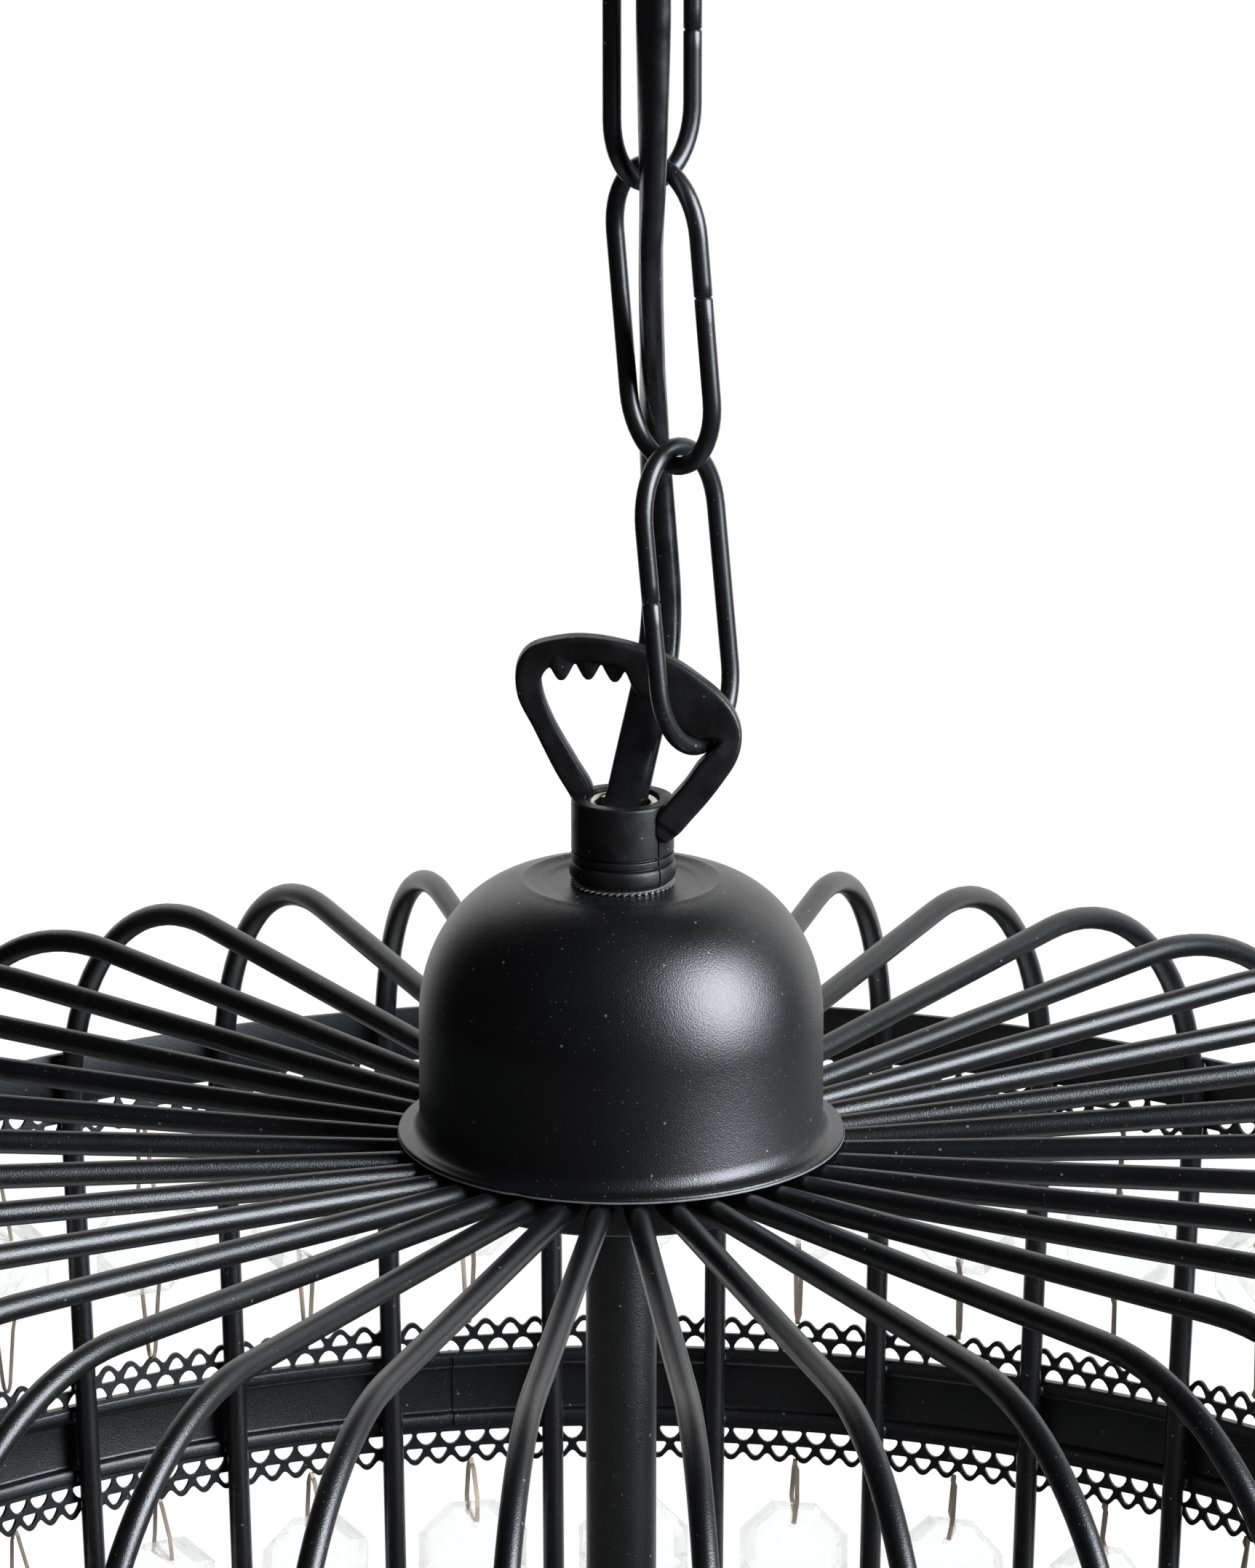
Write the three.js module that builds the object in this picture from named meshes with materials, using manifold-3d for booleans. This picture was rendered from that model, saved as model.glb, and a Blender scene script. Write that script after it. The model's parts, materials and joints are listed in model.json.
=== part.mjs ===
// Beaded drum chandelier on a chain: ceiling canopy, three chain links, flat flex, cord grip,
// bell cap and a round cage of bent rods with three bands and strings of octagonal crystals.
// Millimetres, +Z up. The origin is the middle of the ceiling face of the mounting bar.
import * as THREE from "three";
import { mergeVertices } from "three/addons/utils/BufferGeometryUtils.js";
import Module from "manifold-3d";

const wasm = await Module();
wasm.setup();

// Clearances shared by all pieces
const seatGap = 0.3;
const cutOverrun = 1;

// Ceiling fitting
const barLength = 84;
const barWidth = 20;
const barThickness = 2.5;
const barSlotLength = 11;
const barSlotWidth = 5;
const barSlotSpacing = 60;
const barBossDiameter = 16;
const barBossDepth = 9;
const canopyDiameter = 100;
const canopyHeight = 33;
const canopyFloorDiameter = 36;
const canopyWall = 1;
const grommetOffset = 14.6;
const grommetDiameter = 11;
const grommetFlangeDiameter = 14;
const grommetFlangeThickness = 1.6;
const grommetNeckLength = 5;
const hookWire = 4;
const hookEyeDiameter = 18;
const hookShankDiameter = 6;
const hookShankDrop = 42;
const hookNutFlats = 12;
const hookNutHeight = 4.2;

// Chain
const linkWire = 3;
const linkLength = 52.6;
const linkWidth = 21.5;
const linkEndLength = 11.5;
const linkSeamGap = 0.3;
const hookTurn = -44;
const linkTurns = [46, -44, 231];
const linkLeansRight = [0, 4.7, 5.1];
const linkLeansFront = [0, 2, 2.6];

// Flat twin flex
const flexWidth = 6.9;
const flexThickness = 3.9;
const flexSides = 8;

// Cord grip with its hanging loop
const collarDiameter = 16.8;
const collarHeight = 13.7;
const collarBore = 12.1;
const collarBoreDepth = 3;
const collarGrooveDepth = 0.5;
const collarGrooveWidth = 0.6;
const collarGroovePitch = 1.4;
const collarBeadDiameter = 17.5;
const collarBeadHeight = 3.4;
const loopWidth = 31.5;
const loopRise = 34.3;
const loopSway = 5.5;
const loopStrapWidth = 4.9;
const loopStrapDepth = 4;
const loopToothWidth = 4.1;
const loopToothHeight = 2.8;
const pullOffsetRight = 12.9;
const pullOffsetFront = 3.7;
const pullHeight = 24.1;

// Bell cap
const bellDiameter = 66.4;
const bellHeight = 43.75;
const bellFlangeDiameter = 73.6;
const bellFlangeFillet = 3.2;
const bellWall = 1;
const bellShoulderWidth = 18.7;
const bellShoulderHeight = 23.5;
const bellDishDepth = 0.8;

// Threaded tube, its nut and the centre tube
const nippleDiameter = 10;
const nippleBore = 8.4;
const nippleInTube = 8;
const hubNutFlats = 14;
const hubNutHeight = 4;
const tubeDiameter = 11.7;
const tubeBore = 8.8;
const tubeLength = 94;

// Cage: hub, rods and bands, heights counted down from the rods' plane at the hub
const rodCount = 36;
const rodDiameter = 4;
const cageTurn = -0.75;
const hubDiameter = 60;
const hubThickness = 7.6;
const hubTopAboveRods = 1.8;
const rodRootRadius = 26;
const rodLevelRadius = 38.3;
const rodRise = 2.84;
const rodStraightEndRadius = 129.9;
const rodBendRadius = 48;
const wallLean = 3.57;
const bandThickness = 1.2;
const stripThickness = 0.6;
const stripHeight = 8;
const topBandDrop = 33.5;
const topBandHeight = 10;
const midBandDrop = 101.6;
const midBandHeight = 15.1;
const midLipHeight = 2.4;
const midWebStandOff = 1.6;
const bottomBandDrop = 165.2;
const bottomBandHeight = 10;

// Crystals
const crystalAcrossFlats = 20.7;
const crystalThickness = 6;
const crystalTableShare = 0.62;
const pinDiameter = 1;
const stringTopOverlap = 3;

// Lampholder
const holderCapTopDiameter = 15;
const holderCapHeight = 17;
const holderOverlap = 5;
const holderDiameter = 40;
const holderHeight = 40;
const holderWall = 1.6;
const holderCoreWall = 4.6;
const holderCoreFloor = 5;
const holderRecess = 5;
const holderWireHole = 7;

// How finely round pieces are faceted
const roundSegments = 30;
const smallSegments = 16;
const holderSegments = 24;
const collarSegments = 24;
const wireSides = 8;
const rodSides = 6;
const bendSteps = 4;
const linkEndSteps = 4;
const shoulderSteps = 5;

const degree = Math.PI / 180;
const up = new THREE.Vector3(0, 0, 1);

// Plain helpers for solids
function solid(geometry) {
  const plain = geometry.clone();
  plain.deleteAttribute("normal");
  plain.deleteAttribute("uv");
  const merged = mergeVertices(plain);
  return new wasm.Manifold(
    new wasm.Mesh({
      numProp: 3,
      vertProperties: merged.attributes.position.array,
      triVerts: new Uint32Array(merged.index.array),
    }),
  );
}

function geometryOf(made) {
  const mesh = made.getMesh();
  const geometry = new THREE.BufferGeometry();
  geometry.setAttribute("position", new THREE.BufferAttribute(new Float32Array(mesh.vertProperties), 3));
  geometry.setIndex(new THREE.BufferAttribute(new Uint32Array(mesh.triVerts), 1));
  geometry.computeVertexNormals();
  return geometry;
}

function join(...geometries) {
  return geometryOf(geometries.map(solid).reduce((whole, next) => whole.add(next)));
}

function cut(geometry, ...tools) {
  return geometryOf(tools.map(solid).reduce((left, tool) => left.subtract(tool), solid(geometry)));
}

// A closed outline of [radius, height] pairs turned round the Z axis, listed upwards on the outside
function turned(outline, segments = roundSegments) {
  const points = outline.map(([radius, height]) => new THREE.Vector2(radius, height));
  if (outline[0][0] !== 0) points.push(points[0].clone());
  return new THREE.LatheGeometry(points, segments).rotateX(Math.PI / 2);
}

function disc(diameter, low, high, segments = smallSegments) {
  return turned([[0, low], [diameter / 2, low], [diameter / 2, high], [0, high]], segments);
}

function ring(bore, diameter, low, high, segments = smallSegments) {
  return turned(
    [[bore / 2, low], [diameter / 2, low], [diameter / 2, high], [bore / 2, high]],
    segments,
  );
}

function hexNut(flats, bore, low, height) {
  const hexagon = disc(flats / Math.cos(Math.PI / 6), low, low + height, 6);
  return cut(hexagon, disc(bore, low - cutOverrun, low + height + cutOverrun));
}

// An even-sided section, as wide along the path's side direction as it is told
function oval(width, thickness, sides) {
  const shape = new THREE.Shape();
  for (let i = 0; i < sides; i++) {
    const angle = ((i + 0.5) / sides) * 2 * Math.PI;
    const x = (Math.cos(angle) * width) / 2;
    const y = (Math.sin(angle) * thickness) / 2;
    if (i) shape.lineTo(x, y);
    else shape.moveTo(x, y);
  }
  shape.closePath();
  return shape;
}

// A path whose sections stand at its own points, square to it, with their x axis along a given side
class SectionPath extends THREE.Curve {
  constructor(points, sideAt) {
    super();
    this.points = points;
    this.sideAt = sideAt;
  }
  getSpacedPoints() {
    return this.points;
  }
  computeFrenetFrames() {
    const last = this.points.length - 1;
    const tangents = this.points.map((_, i) => {
      const before = this.points[Math.max(i - 1, 0)];
      const after = this.points[Math.min(i + 1, last)];
      return after.clone().sub(before).normalize();
    });
    const normals = tangents.map((tangent, i) => {
      const side = this.sideAt(i).clone();
      return side.addScaledVector(tangent, -side.dot(tangent)).normalize();
    });
    const binormals = tangents.map((tangent, i) => tangent.clone().cross(normals[i]));
    return { tangents, normals, binormals };
  }
}

function swept(points, side, section) {
  const sideAt = typeof side === "function" ? side : () => side;
  const extrudePath = new SectionPath(points, sideAt);
  return new THREE.ExtrudeGeometry(section, { steps: points.length - 1, bevelEnabled: false, extrudePath });
}

const roundWire = (diameter, sides = wireSides) => oval(diameter, diameter, sides);

// Colours and finishes
const finishes = {
  blackSteel: { color: "#141415", roughness: 0.45, metalness: 0.3 },
  blackPlastic: { color: "#161617", roughness: 0.6, metalness: 0 },
  blackFlex: { color: "#18181a", roughness: 0.5, metalness: 0 },
  zincSteel: { color: "#b9bcbe", roughness: 0.35, metalness: 1 },
  crystal: { color: "#eef3f5", roughness: 0.02, metalness: 0, transparent: true, opacity: 0.4 },
  ceramic: { color: "#e9e6de", roughness: 0.4, metalness: 0 },
};
const materials = Object.fromEntries(
  Object.entries(finishes).map(([name, look]) => [name, new THREE.MeshStandardMaterial(look)]),
);

function piece(name, geometry, finish) {
  const mesh = new THREE.Mesh(geometry, materials[finish]);
  mesh.name = name;
  return mesh;
}

const chandelier = new THREE.Group();

// Levels of the ceiling fitting, from the ceiling down
const canopyRimLevel = -seatGap;
const canopyFloorLevel = canopyRimLevel - canopyHeight;
const hookNutTop = canopyFloorLevel - seatGap;
const hookShankEnd = -hookShankDrop;
const hookCentre = hookShankEnd - hookEyeDiameter / 2 + hookWire;
const hookSeatLevel = hookCentre - (hookEyeDiameter - hookWire) / 2;

function mountingBar() {
  const plate = new THREE.BoxGeometry(barLength, barWidth, barThickness);
  plate.translate(0, 0, -barThickness / 2);
  const boss = disc(barBossDiameter, -barThickness - barBossDepth, -barThickness / 2);
  const hole = disc(
    hookShankDiameter + 2 * seatGap,
    -barThickness - barBossDepth - cutOverrun,
    -barThickness,
  );
  const slots = [-1, 1].map((hand) => {
    const slot = new THREE.Shape();
    const straight = (barSlotLength - barSlotWidth) / 2;
    slot.absarc(straight, 0, barSlotWidth / 2, -Math.PI / 2, Math.PI / 2);
    slot.absarc(-straight, 0, barSlotWidth / 2, Math.PI / 2, (3 * Math.PI) / 2);
    const depth = barThickness + 2 * cutOverrun;
    const tool = new THREE.ExtrudeGeometry(slot, { depth, bevelEnabled: false, curveSegments: 6 });
    return tool.translate((hand * barSlotSpacing) / 2, 0, -barThickness - cutOverrun);
  });
  return cut(join(plate, boss), hole, ...slots);
}

// The side of the canopy is a quarter ellipse from the rim down to its flat floor
function canopyOutline(inset) {
  const rim = canopyDiameter / 2 - inset;
  const floor = canopyFloorDiameter / 2;
  const height = canopyHeight - inset;
  const points = [];
  for (let i = 0; i <= shoulderSteps; i++) {
    const angle = (i / shoulderSteps) * (Math.PI / 2);
    points.push([
      floor + (rim - floor) * Math.sin(angle),
      canopyRimLevel - height * Math.cos(angle),
    ]);
  }
  return points;
}

function canopyCup() {
  const outer = canopyOutline(0);
  const inner = canopyOutline(canopyWall).reverse();
  const shankHole = hookShankDiameter / 2 + seatGap;
  const shell = turned([
    [shankHole, canopyFloorLevel],
    ...outer,
    ...inner,
    [shankHole, canopyFloorLevel + canopyWall],
  ]);
  const flexHole = disc(grommetDiameter + 2 * seatGap, -cutOverrun, canopyWall + cutOverrun);
  flexHole.translate(0, -grommetOffset, canopyFloorLevel);
  return cut(shell, flexHole);
}

function cableGrommet() {
  const flangeLow = -seatGap - grommetFlangeThickness;
  const body = join(
    disc(grommetFlangeDiameter, flangeLow, -seatGap),
    disc(grommetDiameter, flangeLow, flangeLow + grommetNeckLength),
  );
  const slotSide = new THREE.Vector3(...flexBroadSide(flexTwistAtCanopy));
  const slot = swept(
    [
      new THREE.Vector3(0, 0, flangeLow - cutOverrun),
      new THREE.Vector3(0, 0, flangeLow + grommetNeckLength + cutOverrun),
    ],
    slotSide,
    oval(flexWidth + 2 * seatGap, flexThickness + 2 * seatGap, flexSides),
  );
  return cut(body, slot).translate(0, -grommetOffset, canopyFloorLevel);
}

function canopyHook() {
  const eyeRadius = (hookEyeDiameter - hookWire) / 2;
  const points = [];
  const steps = 14;
  const closeAngle = 2 * Math.asin((hookWire + seatGap) / 2 / eyeRadius);
  for (let i = 0; i <= steps; i++) {
    const angle = (i / steps) * (2 * Math.PI - closeAngle);
    points.push(
      new THREE.Vector3(eyeRadius * Math.sin(angle), 0, hookCentre + eyeRadius * Math.cos(angle)),
    );
  }
  const eye = swept(points, new THREE.Vector3(0, 1, 0), roundWire(hookWire));
  const shankTop = -barThickness - seatGap;
  const shank = disc(hookShankDiameter, hookShankEnd - hookWire / 2, shankTop, wireSides);
  return join(eye, shank).rotateZ(hookTurn * degree);
}

const hookNut = () =>
  hexNut(hookNutFlats, hookShankDiameter + 2 * seatGap, hookNutTop - hookNutHeight, hookNutHeight);

// Chain: each link hangs from the wire above it; its own origin is the centre of its lower wire
const linkCentreLength = linkLength - linkWire;
const linkCentreWidth = linkWidth - linkWire;

function linkPoints() {
  const half = linkCentreWidth / 2;
  const points = [];
  const corner = (x, z) => points.push(new THREE.Vector3(x, 0, z));
  const seam = linkCentreLength / 2;
  corner(half, seam - linkSeamGap / 2);
  for (let i = 0; i <= 2 * linkEndSteps; i++) {
    const angle = (i / (2 * linkEndSteps)) * Math.PI;
    corner(half * Math.cos(angle), linkEndLength * (1 - Math.sin(angle)));
  }
  for (let i = 0; i <= 2 * linkEndSteps; i++) {
    const angle = (i / (2 * linkEndSteps)) * Math.PI;
    corner(-half * Math.cos(angle), linkCentreLength - linkEndLength * (1 - Math.sin(angle)));
  }
  corner(half, seam + linkSeamGap / 2);
  return points;
}

function chainLink() {
  return swept(linkPoints(), new THREE.Vector3(0, 1, 0), roundWire(linkWire));
}

// Where the links hang: from the hook's seat down to the wire that carries the lamp
const linkFrames = [];
const seatPoint = new THREE.Vector3(0, 0, hookSeatLevel);
let seatWire = hookWire;
linkTurns.forEach((turn, i) => {
  const leanRight = Math.tan(linkLeansRight[i] * degree);
  const leanFront = Math.tan(linkLeansFront[i] * degree);
  const down = new THREE.Vector3(leanRight, -leanFront, -1).normalize();
  const reach = linkCentreLength - (seatWire + linkWire) / 2 - seatGap;
  const lowWire = seatPoint.clone().addScaledVector(down, reach);
  const leaned = new THREE.Quaternion().setFromUnitVectors(up, down.clone().negate());
  const turned = new THREE.Quaternion().setFromAxisAngle(up, turn * degree);
  const pose = leaned.multiply(turned);
  linkFrames.push({ pivot: seatPoint.clone(), lowWire, down, pose });
  seatPoint.copy(lowWire);
  seatWire = linkWire;
});
const lampPivot = seatPoint.clone();

// The lamp's own frame has its origin on its axis, in the rods' plane at the hub
const bellFloorLevel = hubTopAboveRods + seatGap + 0.15;
const bellTopLevel = bellFloorLevel + bellHeight;
const collarFoot = bellTopLevel - bellDishDepth + seatGap;
const collarTop = collarFoot + collarHeight;
const lampOrigin = new THREE.Vector3(
  lampPivot.x - pullOffsetRight,
  lampPivot.y + pullOffsetFront,
  lampPivot.z - collarFoot - pullHeight,
);

// Flat flex: its route through the chain, from inside the canopy to inside the threaded tube
const flexRoute = [
  [0, -14.6, -24], [0, -14.6, -33], [0, -14.2, -44], [0.05, -12.7, -58], [0.1, -11.2, -72],
  [0.05, -10, -86], [0, -9, -99], [-0.2, -7.2, -108], [-0.2, -3.6, -117], [0, 1.3, -126],
  [0.2, 6.3, -135], [0.4, 9, -144], [0.9, 9.9, -153], [1.4, 9.6, -163], [1.6, 8.9, -172],
  [1, 7.3, -180], [-0.6, 4.8, -187.5], [-2.2, 2.6, -194], [-3.6, 1, -200], [-4.7, 0.2, -205],
  [-5.1, 0, -211], [-5.1, 0, -218],
];
const flexTwists = [
  [-24, 55], [-72, 55], [-90, 70], [-108, 90], [-130, 84],
  [-140, 70], [-160, 52], [-180, 20], [-192, 0], [-218, 0],
];
const flexTwistAtCanopy = flexTwists[0][1];

function flexBroadSide(twist) {
  return [Math.cos(twist * degree), -Math.sin(twist * degree), 0];
}

function flexTwistAt(level) {
  for (let i = 1; i < flexTwists.length; i++) {
    const [high, from] = flexTwists[i - 1];
    const [low, to] = flexTwists[i];
    if (level >= low) return from + ((to - from) * (high - level)) / (high - low);
  }
  return flexTwists[flexTwists.length - 1][1];
}

// The flex is cut at the middle of each link, so that each length bends with one chain joint
const flexCurve = new THREE.CatmullRomCurve3(
  flexRoute.map((point) => new THREE.Vector3(...point)),
  false,
  "centripetal",
);
const flexSteps = 44;
const flexPoints = flexCurve.getSpacedPoints(flexSteps);
const flexCuts = linkFrames.map(({ pivot, lowWire }) => (pivot.z + lowWire.z) / 2);

function flexLength(high, low) {
  const inside = flexPoints.filter((point) => point.z < high - seatGap && point.z > low + seatGap);
  const atLevel = (level) => {
    const i = flexPoints.findIndex((point) => point.z < level);
    const [a, b] = [flexPoints[i - 1], flexPoints[i]];
    return a.clone().lerp(b, (a.z - level) / (a.z - b.z));
  };
  const points = [...inside];
  if (high < flexPoints[0].z) points.unshift(atLevel(high - seatGap / 2));
  if (low > flexPoints[flexSteps].z) points.push(atLevel(low + seatGap / 2));
  const sideAt = (i) => new THREE.Vector3(...flexBroadSide(flexTwistAt(points[i].z)));
  return swept(points, sideAt, oval(flexWidth, flexThickness, flexSides));
}

// Cord grip: a grooved collar and the loop strap, one moulding, in the lamp's frame
const loopShares = [
  [-0.17, 0.7, 0], [-0.275, 0.6, 0.14], [-0.37, 0.51, 0.31], [-0.45, 0.4, 0.53], [-0.473, 0.29, 0.7],
  [-0.39, 0.18, 0.845], [-0.206, 0.05, 0.885], [-0.016, -0.11, 0.86], [0.16, -0.29, 0.8],
  [0.327, -0.51, 0.7], [0.463, -0.71, 0.583], [0.554, -0.85, 0.455], [0.536, -0.95, 0.32],
  [0.432, -1, 0.175], [0.336, -0.98, 0.046], [0.229, -0.89, -0.065], [0.17, -0.7, -0.12],
];
const loopWidthShares = [1, 1, 1, 1, 1, 1, 1, 1, 1.1, 1.2, 1.15, 0.95, 0.95, 1, 1, 1, 0.8];
const loopToothShares = [-0.31, -0.168, -0.033];
const loopFootLevel = collarTop - 4.6;

function gripStrap() {
  const points = loopShares.map(
    ([x, y, z]) =>
      new THREE.Vector3(x * loopWidth, y * loopSway, loopFootLevel + z * loopRise),
  );
  const curve = new THREE.CatmullRomCurve3(points, false, "centripetal");
  const steps = 2 * (points.length - 1);
  const stations = [];
  for (let i = 0; i <= steps; i++) stations.push(curve.getPoint(i / steps));
  const shape = oval(1, 1, 8);
  const geometry = swept(stations, new THREE.Vector3(0, 1, 0), shape);
  const shareAt = (i) => (loopWidthShares[Math.floor(i / 2)] + loopWidthShares[Math.ceil(i / 2)]) / 2;
  return scaleSections(geometry, stations, shareAt);
}

// Gives each section of the strap its own width: points move along and across the strap's depth
function scaleSections(geometry, stations, shareAt) {
  const position = geometry.attributes.position;
  const point = new THREE.Vector3();
  for (let i = 0; i < position.count; i++) {
    point.fromBufferAttribute(position, i);
    let nearest = 0;
    stations.forEach((station, k) => {
      if (station.distanceTo(point) < stations[nearest].distanceTo(point)) nearest = k;
    });
    const offset = point.sub(stations[nearest]);
    const width = loopStrapWidth * shareAt(nearest);
    offset.set(offset.x * width, offset.y * loopStrapDepth, offset.z * width);
    position.setXYZ(i, ...offset.add(stations[nearest]).toArray());
  }
  return geometry;
}

function gripTeeth() {
  const baseLevel = loopFootLevel + loopRise * 0.83;
  return loopToothShares.map((share) => {
    const tooth = new THREE.Shape();
    tooth.moveTo(-loopToothWidth / 2, 0);
    tooth.lineTo(-loopToothWidth * 0.12, -loopToothHeight - loopStrapWidth * 0.2);
    tooth.lineTo(loopToothWidth * 0.12, -loopToothHeight - loopStrapWidth * 0.2);
    tooth.lineTo(loopToothWidth / 2, 0);
    tooth.closePath();
    const depth = loopStrapDepth * 0.8;
    const geometry = new THREE.ExtrudeGeometry(tooth, { depth, bevelEnabled: false });
    geometry.rotateX(Math.PI / 2);
    return geometry.translate(share * loopWidth, depth / 2 - share * loopSway * 0.2, baseLevel);
  });
}

function cordGrip() {
  const outer = collarDiameter / 2;
  const bead = collarBeadDiameter / 2;
  const beadTop = collarFoot + collarBeadHeight;
  const groove = (low) => [
    [outer, low],
    [outer - collarGrooveDepth, low],
    [outer - collarGrooveDepth, low + collarGrooveWidth],
    [outer, low + collarGrooveWidth],
  ];
  const thread = nippleDiameter / 2 + seatGap;
  const mouthLow = collarTop - collarBoreDepth;
  const collar = turned([
    [thread, collarFoot],
    [outer - collarGrooveDepth, collarFoot],
    [bead, collarFoot + collarBeadHeight / 3],
    [bead, beadTop - collarBeadHeight / 3],
    ...groove(beadTop),
    ...groove(beadTop + collarGroovePitch),
    [outer, collarTop - collarGrooveDepth],
    [outer - collarGrooveDepth, collarTop],
    [collarBore / 2, collarTop],
    [collarBore / 2, mouthLow],
    [thread, mouthLow],
  ], collarSegments);
  const bore = disc(2 * thread, collarFoot - cutOverrun, collarTop + cutOverrun, collarSegments);
  const mouth = disc(collarBore, mouthLow, collarTop + loopStrapWidth, collarSegments);
  return cut(join(collar, gripStrap(), ...gripTeeth()), bore, mouth);
}

// Bell cap: a spun shell with a dished top, an elliptical shoulder and an out-turned flange
function bellOutline(inset) {
  const wall = bellDiameter / 2 - inset;
  const top = bellTopLevel - inset;
  const shoulderTopRadius = bellDiameter / 2 - bellShoulderWidth;
  const shoulderLow = bellTopLevel - bellShoulderHeight;
  const points = [[collarBeadDiameter / 2 + seatGap, top - bellDishDepth]];
  points.push([shoulderTopRadius - bellDishDepth, top - bellDishDepth / 2]);
  const steps = shoulderSteps;
  for (let i = 0; i <= steps; i++) {
    const angle = (1 - i / steps) * (Math.PI / 2);
    points.push([
      shoulderTopRadius + (wall - shoulderTopRadius) * Math.cos(angle),
      shoulderLow + (top - shoulderLow) * Math.sin(angle),
    ]);
  }
  return points;
}

function bellCap() {
  const hole = nippleDiameter / 2 + seatGap;
  const wall = bellDiameter / 2;
  const flange = bellFlangeDiameter / 2;
  const outer = bellOutline(0).reverse();
  const inner = bellOutline(bellWall);
  const flangeTop = bellFloorLevel + bellWall;
  return turned([
    [wall - bellWall, bellFloorLevel],
    [flange, bellFloorLevel],
    [flange, flangeTop],
    [wall + bellFlangeFillet * 0.35, flangeTop + bellFlangeFillet * 0.3],
    [wall, flangeTop + bellFlangeFillet],
    ...outer,
    [hole, bellTopLevel - bellDishDepth],
    [hole, bellTopLevel - bellWall - bellDishDepth],
    ...inner,
  ]);
}

// Threaded tube through grip, cap and hub, its nut, and the tube down to the lampholder
const hubLow = hubTopAboveRods - hubThickness;
const tubeTop = hubLow - seatGap;
const nippleLow = tubeTop - nippleInTube;
const tubeLow = tubeTop - tubeLength;

const threadedNipple = () =>
  ring(nippleBore, nippleDiameter, nippleLow, collarTop - collarBoreDepth);

const hubNut = () =>
  hexNut(hubNutFlats, nippleDiameter + 2 * seatGap, hubTopAboveRods + seatGap, hubNutHeight);

function centreTube() {
  const outer = tubeDiameter / 2;
  const socket = nippleDiameter / 2 + seatGap;
  const socketLow = nippleLow - seatGap;
  return turned(
    [
      [tubeBore / 2, tubeLow],
      [outer, tubeLow],
      [outer, tubeTop],
      [socket, tubeTop],
      [socket, socketLow],
      [tubeBore / 2, socketLow],
    ],
    smallSegments,
  );
}

// Cage: a rod runs out from the hub, bends down and leans inwards; all are welded to the hub
const bendCentre = {
  radius: rodStraightEndRadius + rodBendRadius * Math.sin(rodRise * degree),
  level:
    (rodStraightEndRadius - rodLevelRadius) * Math.tan(rodRise * degree) -
    rodBendRadius * Math.cos(rodRise * degree),
};
const wallTopRadius = bendCentre.radius + rodBendRadius * Math.cos(wallLean * degree);
const wallTopLevel = bendCentre.level - rodBendRadius * Math.sin(wallLean * degree);
const cageLow = -bottomBandDrop - bottomBandHeight;

// Radius of the rods' centre line at a level of the wall
function wallRadius(level) {
  if (level > wallTopLevel) {
    const height = level - bendCentre.level;
    return bendCentre.radius + Math.sqrt(rodBendRadius ** 2 - height ** 2);
  }
  return wallTopRadius - (wallTopLevel - level) * Math.tan(wallLean * degree);
}

function rod() {
  const points = [
    [rodRootRadius, (rodRootRadius - rodLevelRadius) * Math.tan(rodRise * degree)],
  ];
  for (let i = 0; i <= bendSteps; i++) {
    const from = 90 + rodRise;
    const angle = (from - (i / bendSteps) * (from + wallLean)) * degree;
    points.push([
      bendCentre.radius + rodBendRadius * Math.cos(angle),
      bendCentre.level + rodBendRadius * Math.sin(angle),
    ]);
  }
  points.push([wallRadius(cageLow), cageLow]);
  const path = points.map(([radius, level]) => new THREE.Vector3(0, -radius, level));
  return swept(path, new THREE.Vector3(1, 0, 0), roundWire(rodDiameter, rodSides));
}

const rodAngle = (i) => ((i + 0.5) * 360) / rodCount + cageTurn;
const gapAngle = (i) => (i * 360) / rodCount + cageTurn;

function cageFrame() {
  const hub = ring(nippleDiameter + 2 * seatGap, hubDiameter, hubLow, hubTopAboveRods, rodCount);
  const one = rod();
  const rods = Array.from({ length: rodCount }, (_, i) => one.clone().rotateZ(rodAngle(i) * degree));
  const bore = disc(nippleDiameter + 2 * seatGap, hubLow - cutOverrun, hubTopAboveRods + cutOverrun);
  return cut(join(hub, ...rods), bore);
}

// Bands stand on the outside of the rods; their flat facets face the rods
const facetShare = 1 / Math.cos(Math.PI / rodCount);
const outsideRods = (level) => wallRadius(level) + rodDiameter / 2 + seatGap;

function band(outline) {
  const closed = outline.map(([radius, level]) => [radius * facetShare, level]);
  return turned(closed, rodCount).rotateZ(cageTurn * degree);
}

const topInner = outsideRods(-topBandDrop - topBandHeight);
const topStripLow = -topBandDrop - topBandHeight - stripHeight;

function topBand() {
  const low = -topBandDrop - topBandHeight;
  return band([
    [topInner, topStripLow],
    [topInner + stripThickness, topStripLow],
    [topInner + stripThickness, low],
    [topInner + bandThickness, low],
    [topInner + bandThickness, -topBandDrop],
    [topInner, -topBandDrop],
  ]);
}

const midUpperInner = outsideRods(-midBandDrop + stripHeight);
const midLowerInner = outsideRods(-midBandDrop - midBandHeight + midLipHeight);

function midBand() {
  const top = -midBandDrop;
  const low = top - midBandHeight;
  const web = midUpperInner + midWebStandOff;
  return band([
    [midLowerInner, low - stripHeight],
    [midLowerInner + stripThickness, low - stripHeight],
    [midLowerInner + stripThickness, low],
    [web + bandThickness, low],
    [web + bandThickness, top],
    [midUpperInner + stripThickness, top],
    [midUpperInner + stripThickness, top + stripHeight],
    [midUpperInner, top + stripHeight],
    [midUpperInner, top - midLipHeight],
    [web, top - midLipHeight],
    [web, low + midLipHeight],
    [midLowerInner, low + midLipHeight],
  ]);
}

const bottomInner = outsideRods(-bottomBandDrop + stripHeight);

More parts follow.
